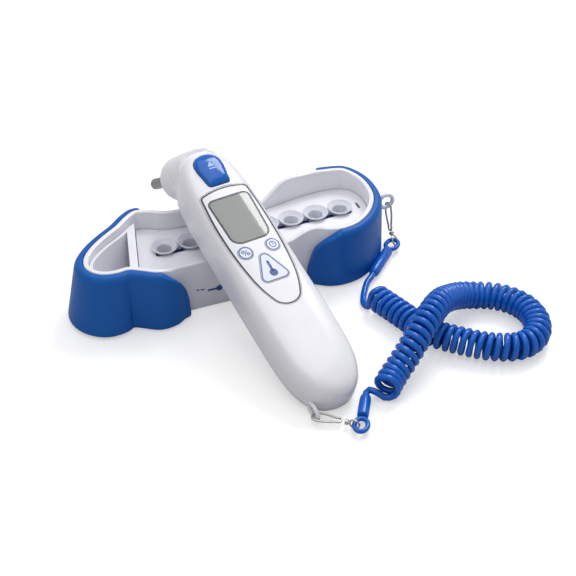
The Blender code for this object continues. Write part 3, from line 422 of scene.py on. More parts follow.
base = {
    "wallLine": [(-84, -9), (-81.8, -15.6), (-76.5, -19.9), (-69.5, -21.3), (-62.5, -20.8), (-56, -24.5),
                 (-49, -28.6), (-42, -28), (-36, -24.4), (-27, -22.2), (0, -22), (28, -21.9),
                 (38, -20.6), (45, -21.6), (52, -26), (60, -27.4), (70, -25), (80, -17.5),
                 (87.5, -6.5), (90, 5), (88.5, 17), (81, 25.5), (68, 27.6), (54, 26.8), (42, 24.6),
                 (28, 22.3), (0, 22), (-26, 23.6), (-36, 28), (-44, 30), (-51, 26), (-58, 19.8),
                 (-68, 13), (-76, 6.4), (-82, -1.2)],
    "wallThick": 2.9,
    "wallPoints": 360,
    "frontRim": [(-95, 37), (-50, 37), (-28, 31.5), (28, 31.5), (50, 37), (95, 37)],
    "backRim": [(-95, 37), (-40, 38.5), (-20, 38), (24, 30), (46, 42), (60, 41), (80, 40), (95, 37)],
    "plateThick": 2.7,
    "partitionX": -54.2, "partitionThick": 4.4, "partitionWall": 1.8, "partitionTurn": -13.9,
    "deckTop": 27.0, "deckWall": 1.6,
    "pocketFloor": 8.0, "pocketTop": 33.0,
}


def wallPoints(count):
    # points and outward normals along the wall line
    pts = smoothPath([(x, y, 0) for x, y in base["wallLine"]], 0.5, closed=True)
    dense = len(pts)
    result = []
    for i in range(count):
        k = i * dense // count
        along = pts[(k + 5) % dense] - pts[k - 5]
        result.append((pts[k], Vector((along.y, -along.x, 0)).normalized()))
    return result


wall = wallPoints(base["wallPoints"])


def wallOffset(offset):
    return [(p.x + n.x * offset, p.y + n.y * offset) for p, n in wall]


def eased(table, x):
    # height at x between a table's points, without corners
    if x <= table[0][0]:
        return table[0][1]
    for (x0, h0), (x1, h1) in zip(table, table[1:]):
        if x <= x1:
            t = (x - x0) / (x1 - x0)
            return h0 + (h1 - h0) * t * t * (3 - 2 * t)
    return table[-1][1]


def rimHeight(point):
    blend = min(1, max(0, (point.y + 12) / 24))
    blend = blend * blend * (3 - 2 * blend)
    return eased(base["frontRim"], point.x) * (1 - blend) + eased(base["backRim"], point.x) * blend


def makeBaseShell():
    # the white wall, its lip rounded all the way along
    low = gap
    thick = base["wallThick"]
    lip = 0.9
    section = [(0, "low", 0.25), (0, "low", 1), (0, "up", 0.4), (0, "up", 0.8), (0, "rim", -lip)]
    for k in range(1, 6):
        angle = pi / 2 * k / 5
        section.append((-lip + lip * cos(angle), "rim", -lip + lip * sin(angle)))
    for k in range(0, 5):
        angle = pi / 2 * k / 5
        section.append((-thick + lip - lip * sin(angle), "rim", -lip + lip * cos(angle)))
    section += [(-thick, "rim", -lip), (-thick, "up", 0.8), (-thick, "up", 0.4), (-thick, "low", 0)]
    rings = []
    for offset, kind, value in section:
        ring = []
        for point, normal in wall:
            rim = rimHeight(point)
            height = {"low": low + value, "up": low + (rim - low) * value, "rim": rim + value}[kind]
            inset = offset - (0.25 if kind == "low" and value == 0.25 else 0)
            ring.append((point.x + normal.x * inset, point.y + normal.y * inset, height))
        rings.append(ring)
    rings.append([(p.x - n.x * 0.5, p.y - n.y * 0.5, low) for p, n in wall])
    ob = loft("baseShell", rings, wrap=True)
    return finishPiece(ob, whiteGloss, body="base", nodes=["base_shell"])


underside = {"feet": [(-72, -9), (-45.5, 18.5), (50, 17), (70, -14)], "footRadius": 5.0, "footHigh": 1.7,
             "screwX": (-25, 30), "screwRadius": 2.8, "ribs": 9}


def screwHead(name, radius, thick):
    # a countersunk head with a cross recess, its head facing down
    head = lathe(name, [(0, 0), (radius - 0.5, 0), (radius, -0.5), (radius, -thick + 0.15),
                        (radius - 0.2, -thick), (0, -thick)], 40)
    arms = [block("slotA", (-1.5, -0.35, -thick - 1), (1.5, 0.35, -thick + 0.6)),
            block("slotB", (-0.35, -1.5, -thick - 1), (0.35, 1.5, -thick + 0.6))]
    return cut(head, arms)


def makeUnderside():
    thick = base["plateThick"]
    plate = prism("basePlate", wallOffset(-base["wallThick"] - gap), 0, thick)
    cutters = []
    for x, y in underside["feet"]:
        cutters.append(prism("footRecess", circle(x, y, underside["footRadius"] + gap), -1, 2.0))
    for x in underside["screwX"]:
        cutters.append(prism("screwRecess", circle(x, 0, 3 + gap), -1, 1.9))
    # shallow ventilated panel of grooves between the screws
    for k in range(underside["ribs"]):
        x = -12 + 3.6 * k
        cutters.append(block("groove", (x - 0.5, -9, -1), (x + 0.5, 9, 0.5)))
    cut(plate, cutters)
    finishPiece(plate, whiteDeck, body="base", nodes=["base_plate"])
    for number, (x, y) in enumerate(underside["feet"], 1):
        r, h = underside["footRadius"], underside["footHigh"]
        foot = lathe(f"foot{number}", [(0, h), (r, h), (r, 0.5), (r - 0.15, 0.15), (r - 0.5, 0), (r - 1.4, 0),
                                       (r - 1.7, 0.35), (r - 2.2, 0.35), (r - 2.5, 0), (0, 0)], 56)
        finishPiece(foot, footRubber, Matrix.Translation((x * mm, y * mm, 0)), "base",
                    [f"base_foot_{number}"])
    for number, x in enumerate(underside["screwX"], 1):
        screw = screwHead(f"baseScrew{number}", underside["screwRadius"], 1.3)
        finishPiece(screw, brightSteel, Matrix.Translation((x * mm, 0, 1.6 * mm)), "base",
                    [f"base_screw_{number}"])


row = {"count": 8, "pitch": 15.1, "firstX": -35.3, "y": 2.8, "flangeRadius": 7.25, "cupRadius": 4.7,
       "slitX": 82.0, "slitY": 3.5}
rowX = [row["firstX"] + i * row["pitch"] for i in range(row["count"])]


def obround(x0, x1, y, radius, steps=24):
    right = [(x1 + radius * cos(a), y + radius * sin(a))
             for a in (-pi / 2 + pi * i / steps for i in range(steps + 1))]
    left = [(x0 + radius * cos(a), y + radius * sin(a))
            for a in (pi / 2 + pi * i / steps for i in range(steps + 1))]
    return right + left


def beyondPartition(offset, keepLeft):
    # a cutter on one side of the turned partition plane
    far = 200
    low, high = (offset, far) if keepLeft else (-far, offset)
    return placed(block("limit", (low, -far, -far), (high, far, far)),
                  Matrix.Translation((base["partitionX"], 0, 0))
                  @ Matrix.Rotation(radians(base["partitionTurn"]), 4, "Z"))


def makeDeckAndPocket():
    # the deck under the probe covers and the cup for the head, both inside the wall
    low = base["plateThick"] + gap
    clear = base["wallThick"] + gap
    top, skin = base["deckTop"], base["deckWall"]
    above, below = top + 5, top - 5
    y = row["y"]
    deck = prism("coverDeck", wallOffset(-clear), low, top)
    cut(deck, [beyondPartition(gap + base["partitionThick"] - base["partitionWall"], False)])
    roundEdges(deck, 0.5)
    hollow = prism("hollow", wallOffset(-clear - skin), -5, top - skin)
    cut(hollow, [beyondPartition(gap + base["partitionThick"] - 0.2, False)])
    left, right, front, back = rowX[0] - 6, rowX[-1] + 6, y - 5.2, y - 0.6
    slot = prism("slot", roundedPolygon([(left, front, 1.6), (right, front, 1.6), (right, back, 1.6),
                                         (left, back, 1.6)]), below, above)
    holes = [prism("hole", circle(x, y, row["cupRadius"] + gap, 56), below, above) for x in rowX]
    slit = prism("slit", bar(row["slitX"], row["slitY"] - 2.2, row["slitX"], row["slitY"] + 2.2, 1.6),
                 below, above)
    cut(deck, [hollow, slot, slit, *holes])
    finishPiece(deck, whiteDeck, body="base", nodes=["cover_deck"])

    skin = base["partitionWall"]
    pocket = prism("headPocket", wallOffset(-clear), low, base["pocketTop"])
    cut(pocket, [beyondPartition(base["partitionThick"] - skin - gap, True)])
    inside = prism("inside", wallOffset(-clear - skin), base["pocketFloor"], 60)
    cut(inside, [beyondPartition(-gap - skin, True)])
    cut(pocket, [inside])
    roundEdges(pocket, 0.6)
    finishPiece(pocket, whiteDeck, body="base", nodes=["head_pocket"])


def makeCoverRow():
    # the cassette, then one cover repeated along the row by the row tree
    top = base["deckTop"]
    low = base["plateThick"] + gap
    cassette = prism("coverCassette", obround(rowX[0], rowX[-1] - 1.5, row["y"], 8.2), low,
                     top - base["deckWall"] - gap)
    cut(cassette, [prism("bore", circle(x, row["y"], row["cupRadius"] + 2 * gap, 48), low + 1.5, top + 5)
                   for x in rowX])
    finishPiece(cassette, cassetteBlue, body="base", nodes=["cover_cassette"])

    cup, flange = row["cupRadius"], row["flangeRadius"]
    # radius and height over the deck: outside from the closed end up, then the inside down again
    profile = [(0, -18), (2.2, -17.95), (3.1, -17.6), (3.4, -16.8), (cup - 0.2, -1.0), (cup, 0.2),
               (flange - 0.3, 1.7), (flange, 2.0), (flange, 2.6), (flange - 0.2, 2.8), (flange - 0.5, 2.8),
               (flange - 0.75, 2.55), (5.2, 1.3), (4.3, 0.7), (4.1, -0.2), (3.0, -16.6), (2.7, -17.2),
               (0, -17.35)]
    cover = lathe("probeCovers", [(r, top + z) for r, z in profile], 56)
    placed(cover, Matrix.Translation((rowX[0], row["y"], 0)))
    runTree(cover, rowTree, Count=row["count"], Step=(row["pitch"], 0, 0), Material=coverFilm)
    finishPiece(cover, coverFilm, body="base",
                nodes=[f"probe_cover_{i}" for i in range(1, row["count"] + 1)])


endCovers = {"clearance": 0.35, "thick": 4.3, "edgeRound": 2.2, "shoulderRound": 4.2, "bottom": 0.3,
             "columns": 150, "flare": [(-95, 6.5), (-78, 6.5), (-58, 0.8), (95, 0.8)],
             "leftFront": (-31, -33, -47), "leftBack": (-39, -39, -41),
             "rightFront": (40, 43, 58), "rightBack": (68, 68, 66)}


def shareAt(x, front):
    # share of the wall's length at which it passes x on its front or back side
    fine = wallPoints(960)
    best = min(range(len(fine)),
               key=lambda i: abs(fine[i][0].x - x) + (0 if (fine[i][0].y < 0) == front else 1000))
    return best / len(fine)


def makeEndCover(name, startEdge, endEdge):
    fine = wallPoints(960)
    count = len(fine)
    columns, bottom = endCovers["columns"], endCovers["bottom"]
    soft = endCovers["edgeRound"]
    levels = [0.5 * (1 - cos(pi * i / 14)) * 0.12 for i in range(14)]
    levels += [0.12 + 0.72 * i / 12 for i in range(12)]
    levels += [0.84 + 0.16 * sin(pi / 2 * i / 18) for i in range(19)]

    def at(share):
        place = (share % 1.0) * count
        k, f = int(place) % count, place - int(place)
        (p, n), (q, m) = fine[k], fine[(k + 1) % count]
        return p.lerp(q, f), n.lerp(m, f).normalized()

    rings = []
    for level in levels:
        s0, s1 = startEdge(level), endEdge(level)
        inside, outside = [], []
        for i in range(columns + 1):
            # columns gather near both edges, so that the rounding there is fine
            t = i / columns
            t -= 0.13 * sin(2 * pi * t)
            point, normal = at(s0 + (s1 - s0) * t)
            top = rimHeight(point) - 0.3
            z = bottom + (top - bottom) * level
            fromEdge = min(t, 1 - t) * abs(s1 - s0) * wallLength
            side = min(1, fromEdge / soft)
            foot = min(1, (z - bottom) / 3.0)
            crown = min(1, (top - z) / endCovers["shoulderRound"])
            body = endCovers["thick"] + eased(endCovers["flare"], point.x) * (1 - level)
            shape = 0.35 + 0.65 * sqrt(1 - (1 - side) ** 2)
            shape *= 0.5 + 0.5 * sqrt(1 - (1 - foot) ** 2)
            shape *= 0.25 + 0.75 * sqrt(1 - (1 - crown) ** 2)
            a = point + normal * endCovers["clearance"]
            b = point + normal * (endCovers["clearance"] + body * shape)
            inside.append((a.x, a.y, z))
            outside.append((b.x, b.y, z))
        rings.append(outside + inside[::-1])
    return loft(name, rings)


wallLength = sum((b - a).length for (a, n), (b, m) in zip(wall, wall[1:] + wall[:1]))


def makeEndCovers():
    def edge(name, front, turns=0.0):
        low, middle, high = [shareAt(x, front) for x in endCovers[name]]

        def position(level):
            if level < 0.5:
                return turns + low + (middle - low) * (level / 0.5) ** 2
            return turns + middle + (high - middle) * ((level - 0.5) / 0.5) ** 1.7
        return position

    left = makeEndCover("leftEndCover", edge("leftBack", False), edge("leftFront", True, 1.0))
    finishPiece(left, softBlue, body="base", nodes=["left_end_cover"], sharp=60)
    right = makeEndCover("rightEndCover", edge("rightFront", True), edge("rightBack", False))
    hole = prism("eyeletHole", circle(0, 0, eyelet["stemRadius"] + gap, 48), -20, 20)
    cut(right, [placed(hole, Matrix.Translation(eyelet["centre"]) @ Matrix.Rotation(radians(90), 4, "Y"))])
    finishPiece(right, softBlue, body="base", nodes=["right_end_cover"], sharp=60)


eyelet = {"centre": (100.2, 4.0, 25.0), "radius": 4.2, "wire": 1.25, "stemRadius": 2.2}


def ringPoints(centre, axisU, axisV, radiusU, radiusV, count):
    c, a, b = Vector(centre), Vector(axisU).normalized(), Vector(axisV).normalized()
    return [c + a * radiusU * cos(2 * pi * i / count) + b * radiusV * sin(2 * pi * i / count)
            for i in range(count)]


def makeBaseEyelet():
    centre, r = eyelet["centre"], eyelet["radius"]
    ring = pathTube("baseEyelet", ringPoints(centre, (1, 0, 0), (0, 0, 1), r, r, 56), 2 * eyelet["wire"],
                    whiteGloss, 20, True)
    stem = lathe("stem", [(0, 0.6 - r), (1.5, 0.6 - r), (1.9, -0.3 - r), (2.2, -1.6 - r), (2.2, -5.4 - r),
                          (0, -5.4 - r)], 40)
    cut(ring, [placed(stem, Matrix.Translation(centre) @ Matrix.Rotation(radians(90), 4, "Y"))], "UNION")
    finishPiece(ring, whiteGloss, body="base", nodes=["base_eyelet"])


def makeFrontMark():
    # a small generic thermometer sign with an arrow, printed on the middle of the front wall
    shapes = [bar(-25.4, 13.4, -24.2, 13.4, 0.7), bar(-22.8, 13.0, -21.4, 13.0, 0.7),
              bar(-18.6, 11.6, -13.6, 11.6, 1.1), circle(-12.2, 11.6, 1.8)]
    marks = merged("frontMark", [prism("mark", shape, 22.0, 22.28) for shape in shapes])
    finishPiece(placed(marks, Matrix.Rotation(radians(90), 4, "X")), inkBlue, body="base")


makeBaseShell()
makeUnderside()
makeDeckAndPocket()
makeCoverRow()
makeEndCovers()
makeBaseEyelet()
makeFrontMark()
print("storage base made")


# thermometer: sizes in its own frame, X across, Y from tail to head, Z out of the display face

thermometer = {
    "place": (13.92, -127.35, 21.30), "tilt": 21.0, "yaw": 8.7,
    "line": [(-8.2, 0), (-6.9, 7), (-2.9, 12.7), (3.2, 16.4), (11, 18.8), (24, 20), (44, 20.3), (66, 20.2),
             (88, 19.8), (108, 19.4), (122, 19.1), (133, 18.4), (144, 16.6), (152, 12.9), (157.4, 7.2),
             (159, 0)],
    "spineStart": 26.0, "spineEnd": 138.0, "shellThick": 2.0, "upperPower": 4.5, "lowerPower": 3.6,
    "seamTail": -17.5, "seamFall": 0.02, "underTail": -22.6, "underFall": 0.0524,
    "axisY": 140.5, "axisLean": 35.0, "neckEnd": 47.0, "voxel": 0.75, "caseScrewY": (84, 128),
}
handset = (Matrix.Translation(Vector(thermometer["place"]) * mm)
           @ Matrix.Rotation(radians(thermometer["yaw"]), 4, "Z")
           @ Matrix.Rotation(radians(thermometer["tilt"]), 4, "X"))
probeTurn = Matrix.Rotation(radians(180 + thermometer["axisLean"]), 4, "X")
probeInHandset = Matrix.Translation((0, thermometer["axisY"], 0)) @ probeTurn
probe = handset @ Matrix.Translation((0, thermometer["axisY"] * mm, 0)) @ probeTurn
doorSlope = -atan2(thermometer["underFall"], 1)
doorInHandset = (Matrix.Translation((0, 0, thermometer["underTail"]))
                 @ Matrix.Rotation(doorSlope, 4, "X"))
door = (handset @ Matrix.Translation((0, 0, thermometer["underTail"] * mm))
        @ Matrix.Rotation(doorSlope, 4, "X"))

halfLine = smoothPath([(x, y, 0) for y, x in thermometer["line"]], 0.4)


def handsetOutline(inset=0.0, half=72):
    # the plan outline, anticlockwise from the tail, closer spaced at both ends
    count = len(halfLine) - 1
    right = [halfLine[round(count * 0.5 * (1 - cos(pi * i / half)))] for i in range(half + 1)]
    result = []
    for i, point in enumerate(right):
        if i in (0, half):
            result.append((0.0, point.y + (inset if i == 0 else -inset)))
            continue
        along = (right[i + 1] - right[i - 1]).normalized()
        result.append((point.x - along.y * inset, point.y + along.x * inset))
    return result + [(-x, y) for x, y in result[-2:0:-1]]


def seamHeight(y):
    return thermometer["seamTail"] - thermometer["seamFall"] * y


def underHeight(y):
    return thermometer["underTail"] - thermometer["underFall"] * min(y, 150)


def domeSolid(name, inset):
    # a dome above the seam and a shallower one below it, round one spine
    outline = handsetOutline(inset)
    steps = 22
    rings = []
    for upper in (True, False):
        power = thermometer["upperPower"] if upper else thermometer["lowerPower"]
        order = range(steps + 1) if upper else range(steps - 1, -1, -1)
        for k in order:
            turn = pi / 2 * k / steps
            share, rise = sin(turn) ** (2 / power), cos(turn) ** (2 / power)
            ring = []
            for x, y in outline:
                spine = min(max(y, thermometer["spineStart"]), thermometer["spineEnd"])
                py = spine + (y - spine) * share
                seam = seamHeight(py)
                target = -inset if upper else underHeight(py) + inset
                ring.append((x * share, py, seam + (target - seam) * rise))
            rings.append(ring)
    return loft(name, rings, cap=False)


headEdge = [(atan2(p.y - thermometer["spineEnd"], p.x), hypot(p.x, p.y - thermometer["spineEnd"]))
            for p in halfLine if p.y >= thermometer["spineEnd"]]
sideEdge = [(p.y, p.x) for p in halfLine]


def between(table, key):
    k = min(max(1, bisect_left(table, (key,))), len(table) - 1)
    (a, p), (b, q) = table[k - 1], table[k]
    return p + (q - p) * min(1, max(0, (key - a) / (b - a)))


def domeHeight(x, y):
    # height of the front face over a point of the plan
    if y > thermometer["spineEnd"]:
        run = hypot(x, y - thermometer["spineEnd"])
        share = run / between(headEdge, atan2(y - thermometer["spineEnd"], abs(x)))
    else:
        share = abs(x) / between(sideEdge, y)
    share = min(0.999, share)
    power = thermometer["upperPower"]
    return seamHeight(y) * (1 - (1 - share ** power) ** (1 / power))


def drape(ob, stepX=1.5, stepY=6.0):
    # bends a flat plate so that it follows the front face
    bm = bmesh.new()
    bm.from_mesh(ob.data)
    xs = [v.co.x for v in bm.verts]
    ys = [v.co.y for v in bm.verts]
    for low, high, step, axis in ((min(xs), max(xs), stepX, 0), (min(ys), max(ys), stepY, 1)):
        place = low + step
        while place < high - 0.1:
            here, normal = [0, 0, 0], [0, 0, 0]
            here[axis], normal[axis] = place, 1
            bmesh.ops.bisect_plane(bm, geom=bm.verts[:] + bm.edges[:] + bm.faces[:], dist=0.0001,
                                   plane_co=here, plane_no=normal)
            place += step
    for v in bm.verts:
        v.co.z += domeHeight(v.co.x, v.co.y)
    ob.data = closeMesh(bm, ob.name)
    return ob


face = {
    "overlay": [(-14.6, 127.4, 2.6), (-16, 108, 190), (-15.3, 84, 190), (-12.3, 62.5, 58), (-6.2, 48.3, 9),
                (6.2, 48.3, 9), (12.3, 62.5, 58), (15.3, 84, 190), (16, 108, 190), (14.6, 127.4, 2.6),
                (0, 130.2, 40)],  # corners as x, y and radius
    "display": [(-11.7, 122.0, 2.4), (-10.6, 92.6, 5.0), (10.6, 92.6, 5.0), (11.7, 122.0, 2.4)],
    "scanKey": [(-9.6, 64.2, 3.2), (9.6, 64.2, 3.2), (0, 87.5, 3.2)],
    "ejectCap": [(-8.0, 153.0, 7.6), (-8.15, 142.5, 9), (-6.3, 131.1, 2.2), (6.3, 131.1, 2.2),
                 (8.15, 142.5, 9), (8.0, 153.0, 7.6)],
    "smallKeyX": 8.2, "smallKeyY": 85.6, "smallKeyR": 4.1,
    "recess": -1.2, "filmTop": -0.12, "keyTop": 0.12, "inkThick": 0.05,
}


def rounded(name, amount=0.0, steps=12):
    return roundedPolygon(grow(face[name], amount), steps)


def softenJoin(body, dome, neck, reach=8.0, rounds=90):
    # smooths the skin where neck and body meet, and only there
    trees = []
    for ob in (dome, neck):
        bm = bmesh.new()
        bm.from_mesh(ob.data)
        trees.append(BVHTree.FromBMesh(bm))
        bm.free()
    group = body.vertex_groups.new(name="join")
    for v in body.data.vertices:
        if v.co.z > -14 or v.co.y < 105:
            continue
        far = max(tree.find_nearest(v.co)[3] for tree in trees)
        if far < reach:
            t = 1 - far / reach
            group.add([v.index], t * t * (3 - 2 * t), "REPLACE")
    for name, factor, repeats, only in (("join", 0.9, rounds, "join"), ("all", 0.5, 8, "")):
        smooth = body.modifiers.new(name, "SMOOTH")
        smooth.factor = factor
        smooth.iterations = repeats
        smooth.vertex_group = only
    bake(body)


def makeShells():
    body = domeSolid("bodyOuter", 0.0)
    neckEnd = thermometer["neckEnd"]
    neck = lathe("neck", [(0, 14), (14.6, 14), (12.6, neckEnd + 3), (0, neckEnd + 3)], 96)
    placed(neck, probeInHandset)
    dome = linkMesh("domeCopy", body.data.copy())
    neckCopy = linkMesh("neckCopy", neck.data.copy())
    cut(body, [neck], "UNION")
    remesh = body.modifiers.new("Remesh", "REMESH")
    remesh.mode = "VOXEL"
    remesh.voxel_size = thermometer["voxel"]
    bake(body)
    softenJoin(body, dome, neckCopy)
    dropObjects(dome, neckCopy)
    endCut = block("neckEnd", (-30, -30, neckEnd), (30, 30, neckEnd + 30))
    cut(body, [placed(endCut, probeInHandset)])

    far = 300
    tilt = Matrix.Translation((0, 0, thermometer["seamTail"])) @ Matrix.Rotation(
        -atan2(thermometer["seamFall"], 1), 4, "X")
    shells = []
    for name, low, high in (("frontShell", gap / 2, far), ("backShell", -far, -gap / 2)):
        shell = linkMesh(name, body.data.copy())
        side = block("side", (-far, -far, low), (far, far, high))
        cut(shell, [placed(side, tilt)], "INTERSECT")
        inner = domeSolid("inner", thermometer["shellThick"])
        bore = lathe("bore", [(0, 16), (12.6, 16), (10.9, neckEnd + 4), (0, neckEnd + 4)], 64)
        cut(inner, [placed(bore, probeInHandset)], "UNION")
        shells.append((shell, inner))
    dropObjects(body)

    front, inner = shells[0]
    x, y, r = face["smallKeyX"], face["smallKeyY"], face["smallKeyR"] + gap
    cutters = [inner, drape(prism("recess", rounded("overlay", gap), face["recess"], 6))]
    cutters += [prism("keyHole", outline, -10, 5) for outline in (
        rounded("display", -1.2), rounded("scanKey", gap), circle(-x, y, r, 64), circle(x, y, r, 64))]
    cutters.append(prism("capHole", rounded("ejectCap", gap), -14, 8))
    cut(front, cutters)
    finishPiece(front, whiteGloss, handset, "thermometer", ["front_shell"], 50)

    back, inner = shells[1]
    cutters = [prism("doorOpening", roundedPolygon([(-11, 27, 2), (11, 27, 2), (11, 67, 2), (-11, 67, 2)]),
                     -4, 6)]
    cutters += [prism("caseHole", circle(0, y, 2.6, 32), -3, 1.5) for y in thermometer["caseScrewY"]]
    cut(back, [inner, *(placed(cutter, doorInHandset) for cutter in cutters)])
    finishPiece(back, whiteGloss, handset, "thermometer", ["back_shell"], 50)


def ink(name, shapes, level, material, body):
    # printed marks: thin draped plates a little above the surface they lie on
    plates = [drape(prism("mark", outline, level, level + face["inkThick"], holes), 2.0, 8.0)
              for outline, holes in shapes]
    return finishPiece(merged(name, plates), material, handset, body)


def makeFace():
    top = face["filmTop"]
    x, y, r = face["smallKeyX"], face["smallKeyY"], face["smallKeyR"]
    holes = [rounded("display", gap), rounded("scanKey", gap), circle(-x, y, r + gap, 64),
             circle(x, y, r + gap, 64)]
    film = drape(prism("keypadOverlay", rounded("overlay"), face["recess"] + gap, top, holes))
    finishPiece(film, faceFilm, handset, "thermometer", ["keypad_overlay"])
    lens = drape(prism("displayLens", rounded("display"), face["recess"] + gap, top - 0.05))
    finishPiece(lens, clearLens, handset, "thermometer", ["display_lens"])
    panel = block("displayPanel", (-12.6, 91.5, -6.2), (12.6, 123.5, -3.9), 0.3)
    finishPiece(panel, displayGrey, handset, "thermometer", ["display_panel"])
    ink("faceLines", [(rounded("overlay", -0.3), [rounded("overlay", -1.25)]),
                      (rounded("display", 1.15), [rounded("display", 0.35)])], top, inkGrey, "thermometer")

    # each key with its border line and its generic sign: a thermometer, a change of unit, a clock
    top, edge, line = face["keyTop"], 0.25, 0.65
    keys = {"scan": rounded("scanKey"), "unit": circle(-x, y, r, 64), "timer": circle(x, y, r, 64)}
    borders = {"scan": (rounded("scanKey", -edge), [rounded("scanKey", -edge - line)])}
    for name, middle in (("unit", -x), ("timer", x)):
        borders[name] = (circle(middle, y, r - edge, 56), [circle(middle, y, r - edge - line, 56)])
    signs = {"scan": [(circle(0, 69.2, 2.3), []), (bar(0, 70.5, 0, 76.5, 1.5), [])],
             "unit": [(circle(-x - 1.2, y + 0.9, 0.95), [circle(-x - 1.2, y + 0.9, 0.45)]),
                      (bar(-x - 0.9, y - 1.5, -x + 1.0, y + 1.5, 0.4), []),
                      (circle(-x + 1.2, y - 0.9, 0.95), [circle(-x + 1.2, y - 0.9, 0.45)])],
             "timer": [(circle(x, y, 2.0), [circle(x, y, 1.5)]), (bar(x, y, x, y + 1.1, 0.4), []),
                       (bar(x, y, x + 0.8, y, 0.4), [])]}
    for name, outline in keys.items():
        key = drape(prism(name + "Key", outline, -4.6, top), 2.0, 8.0)
        finishPiece(key, keyRubber, handset, f"{name}_button", [f"{name}_button"])
    for name, shapes in signs.items():
        ink(name + "Mark", [borders[name], *shapes], top, inkBlue, f"{name}_button")


def makeEjectCap():
    outline = rounded("ejectCap", 0, 14)
    cx, cy = 0.0, 143.5
    rings = [[(x, y, -5.0) for x, y in outline]]
    for share, lift in ((1.0, -0.6), (0.995, 0.25), (0.98, 0.75), (0.94, 1.3), (0.88, 1.75), (0.78, 2.15),
                        (0.64, 2.45), (0.48, 2.62), (0.32, 2.7), (0.16, 2.72), (0.03, 2.72)):
        ring = []
        for x, y in outline:
            px, py = cx + (x - cx) * share, cy + (y - cy) * share
            ring.append((px, py, domeHeight(px, py) + lift))
        rings.append(ring)
    cap = loft("ejectCap", rings)
    stem = lathe("stem", [(0, -4.5), (2.4, -4.5), (2.4, -7.9), (2.1, -8.2), (0, -8.2)], 40)
    cut(cap, [placed(stem, Matrix.Translation((0, 139.3, 0)))], "UNION")
    finishPiece(cap, buttonBlue, handset, "eject_button", ["eject_button"], 60)
    # the usual eject sign, a triangle over a bar, sunk on the cap's crown
    shapes = [[(-2.1, 142.4), (2.1, 142.4), (0, 145.6)], bar(-1.8, 141.0, 1.8, 141.0, 0.8)]
    plates = [drape(prism("mark", shape, 2.68, 2.82), 1.0, 1.0) for shape in shapes]
    finishPiece(merged("ejectSign", plates), iconPale, handset, "eject_button")


def makeProbe():
    sleeve = lathe("ejectSleeve", [(3.65, 65.8), (3.8, 66.0), (4.2, 66.0), (4.5, 65.8), (4.9, 65.2),
                                   (6.7, 62.6), (7.2, 61.8), (7.6, 60.8), (11.6, 49.6), (11.9, 49.0),
                                   (12.0, 48.4), (12.0, 47.7), (11.7, 47.4), (10.5, 47.4), (10.5, 41.0),
                                   (9.2, 41.0), (9.2, 48.0), (6.2, 59.8), (3.65, 61.6)], 112)
    finishPiece(sleeve, whiteGloss, probe, "eject_slide", ["eject_sleeve"], 30)
    tip = lathe("probeTip", [(2.55, 89.35), (2.7, 89.5), (2.8, 89.5), (3.1, 89.35), (3.3, 88.9), (3.3, 86.0),
                             (3.22, 85.9), (3.22, 85.6), (3.3, 85.5), (3.3, 36.5), (2.5, 36.5)], 72)
    finishPiece(tip, tipSteel, probe, "thermometer", ["probe_tip"], 25)
    window = lathe("sensorWindow", [(0, 88.75), (1.2, 88.72), (2.1, 88.55), (2.1, 87.7), (0, 87.7)], 48)
    finishPiece(window, darkPlastic, probe, "thermometer", ["sensor_window"])


batteryDoor = {"outline": [(-13, 24, 3), (13, 24, 3), (13, 70, 3), (-13, 70, 3)], "thick": 1.5,
               "ribs": 6, "ribStep": 2.4, "firstRib": 30.0}


def makeBack():
    lid = prism("batteryDoor", roundedPolygon(batteryDoor["outline"]), -gap - batteryDoor["thick"], -gap)
    roundEdges(lid, 0.5)
    finishPiece(lid, whiteGloss, door, "battery_door", ["battery_door"])
    # grip ribs under the thumb, repeated by the row tree
    y = batteryDoor["firstRib"]
    rib = block("doorRibs", (-8, y - 0.4, -gap - batteryDoor["thick"] - 0.45),
                (8, y + 0.4, -gap - batteryDoor["thick"] + 0.2), 0.2)
    runTree(rib, rowTree, Count=batteryDoor["ribs"], Step=(0, batteryDoor["ribStep"], 0), Material=whiteGloss)
    finishPiece(rib, whiteGloss, door, "battery_door")
    for number, y in enumerate(thermometer["caseScrewY"], 1):
        screw = placed(screwHead(f"caseScrew{number}", 2.3, 1.2), Matrix.Translation((0, y, 1.2)))
        finishPiece(screw, brightSteel, door, "thermometer", [f"case_screw_{number}"])
    ring = pathTube("tailEyelet", ringPoints((-14.0, -5.6, -15.8), (0, -1, 0), (0, 0, 1), 4.8, 2.9, 48), 2.2,
                    whiteGloss, 18, True)
    finishPiece(ring, whiteGloss, handset, "thermometer", ["tail_eyelet"])


def dressCadNodes():
    # inner parts keep their own shape and take a finish from this file
    dressed = [(boardGreen, ("circuit_board",)), (darkPlastic, ("buzzer",)),
               (cellWrap, ("battery_1", "battery_2", "battery_3")),
               (frameGrey, ("probe_frame", "eject_yoke")),
               (brightSteel, ("battery_contact_1", "battery_contact_2", "sensor_can", "eject_spring"))]
    for material, names in dressed:
        for node in names:
            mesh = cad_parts[node].data
            mesh.materials.clear()
            mesh.materials.append(material)


makeShells()
makeFace()
makeEjectCap()
makeProbe()
makeBack()
dressCadNodes()
print("thermometer made")


# tether: lead, curly cord, sleeves, eyes, swivels and wire snaps

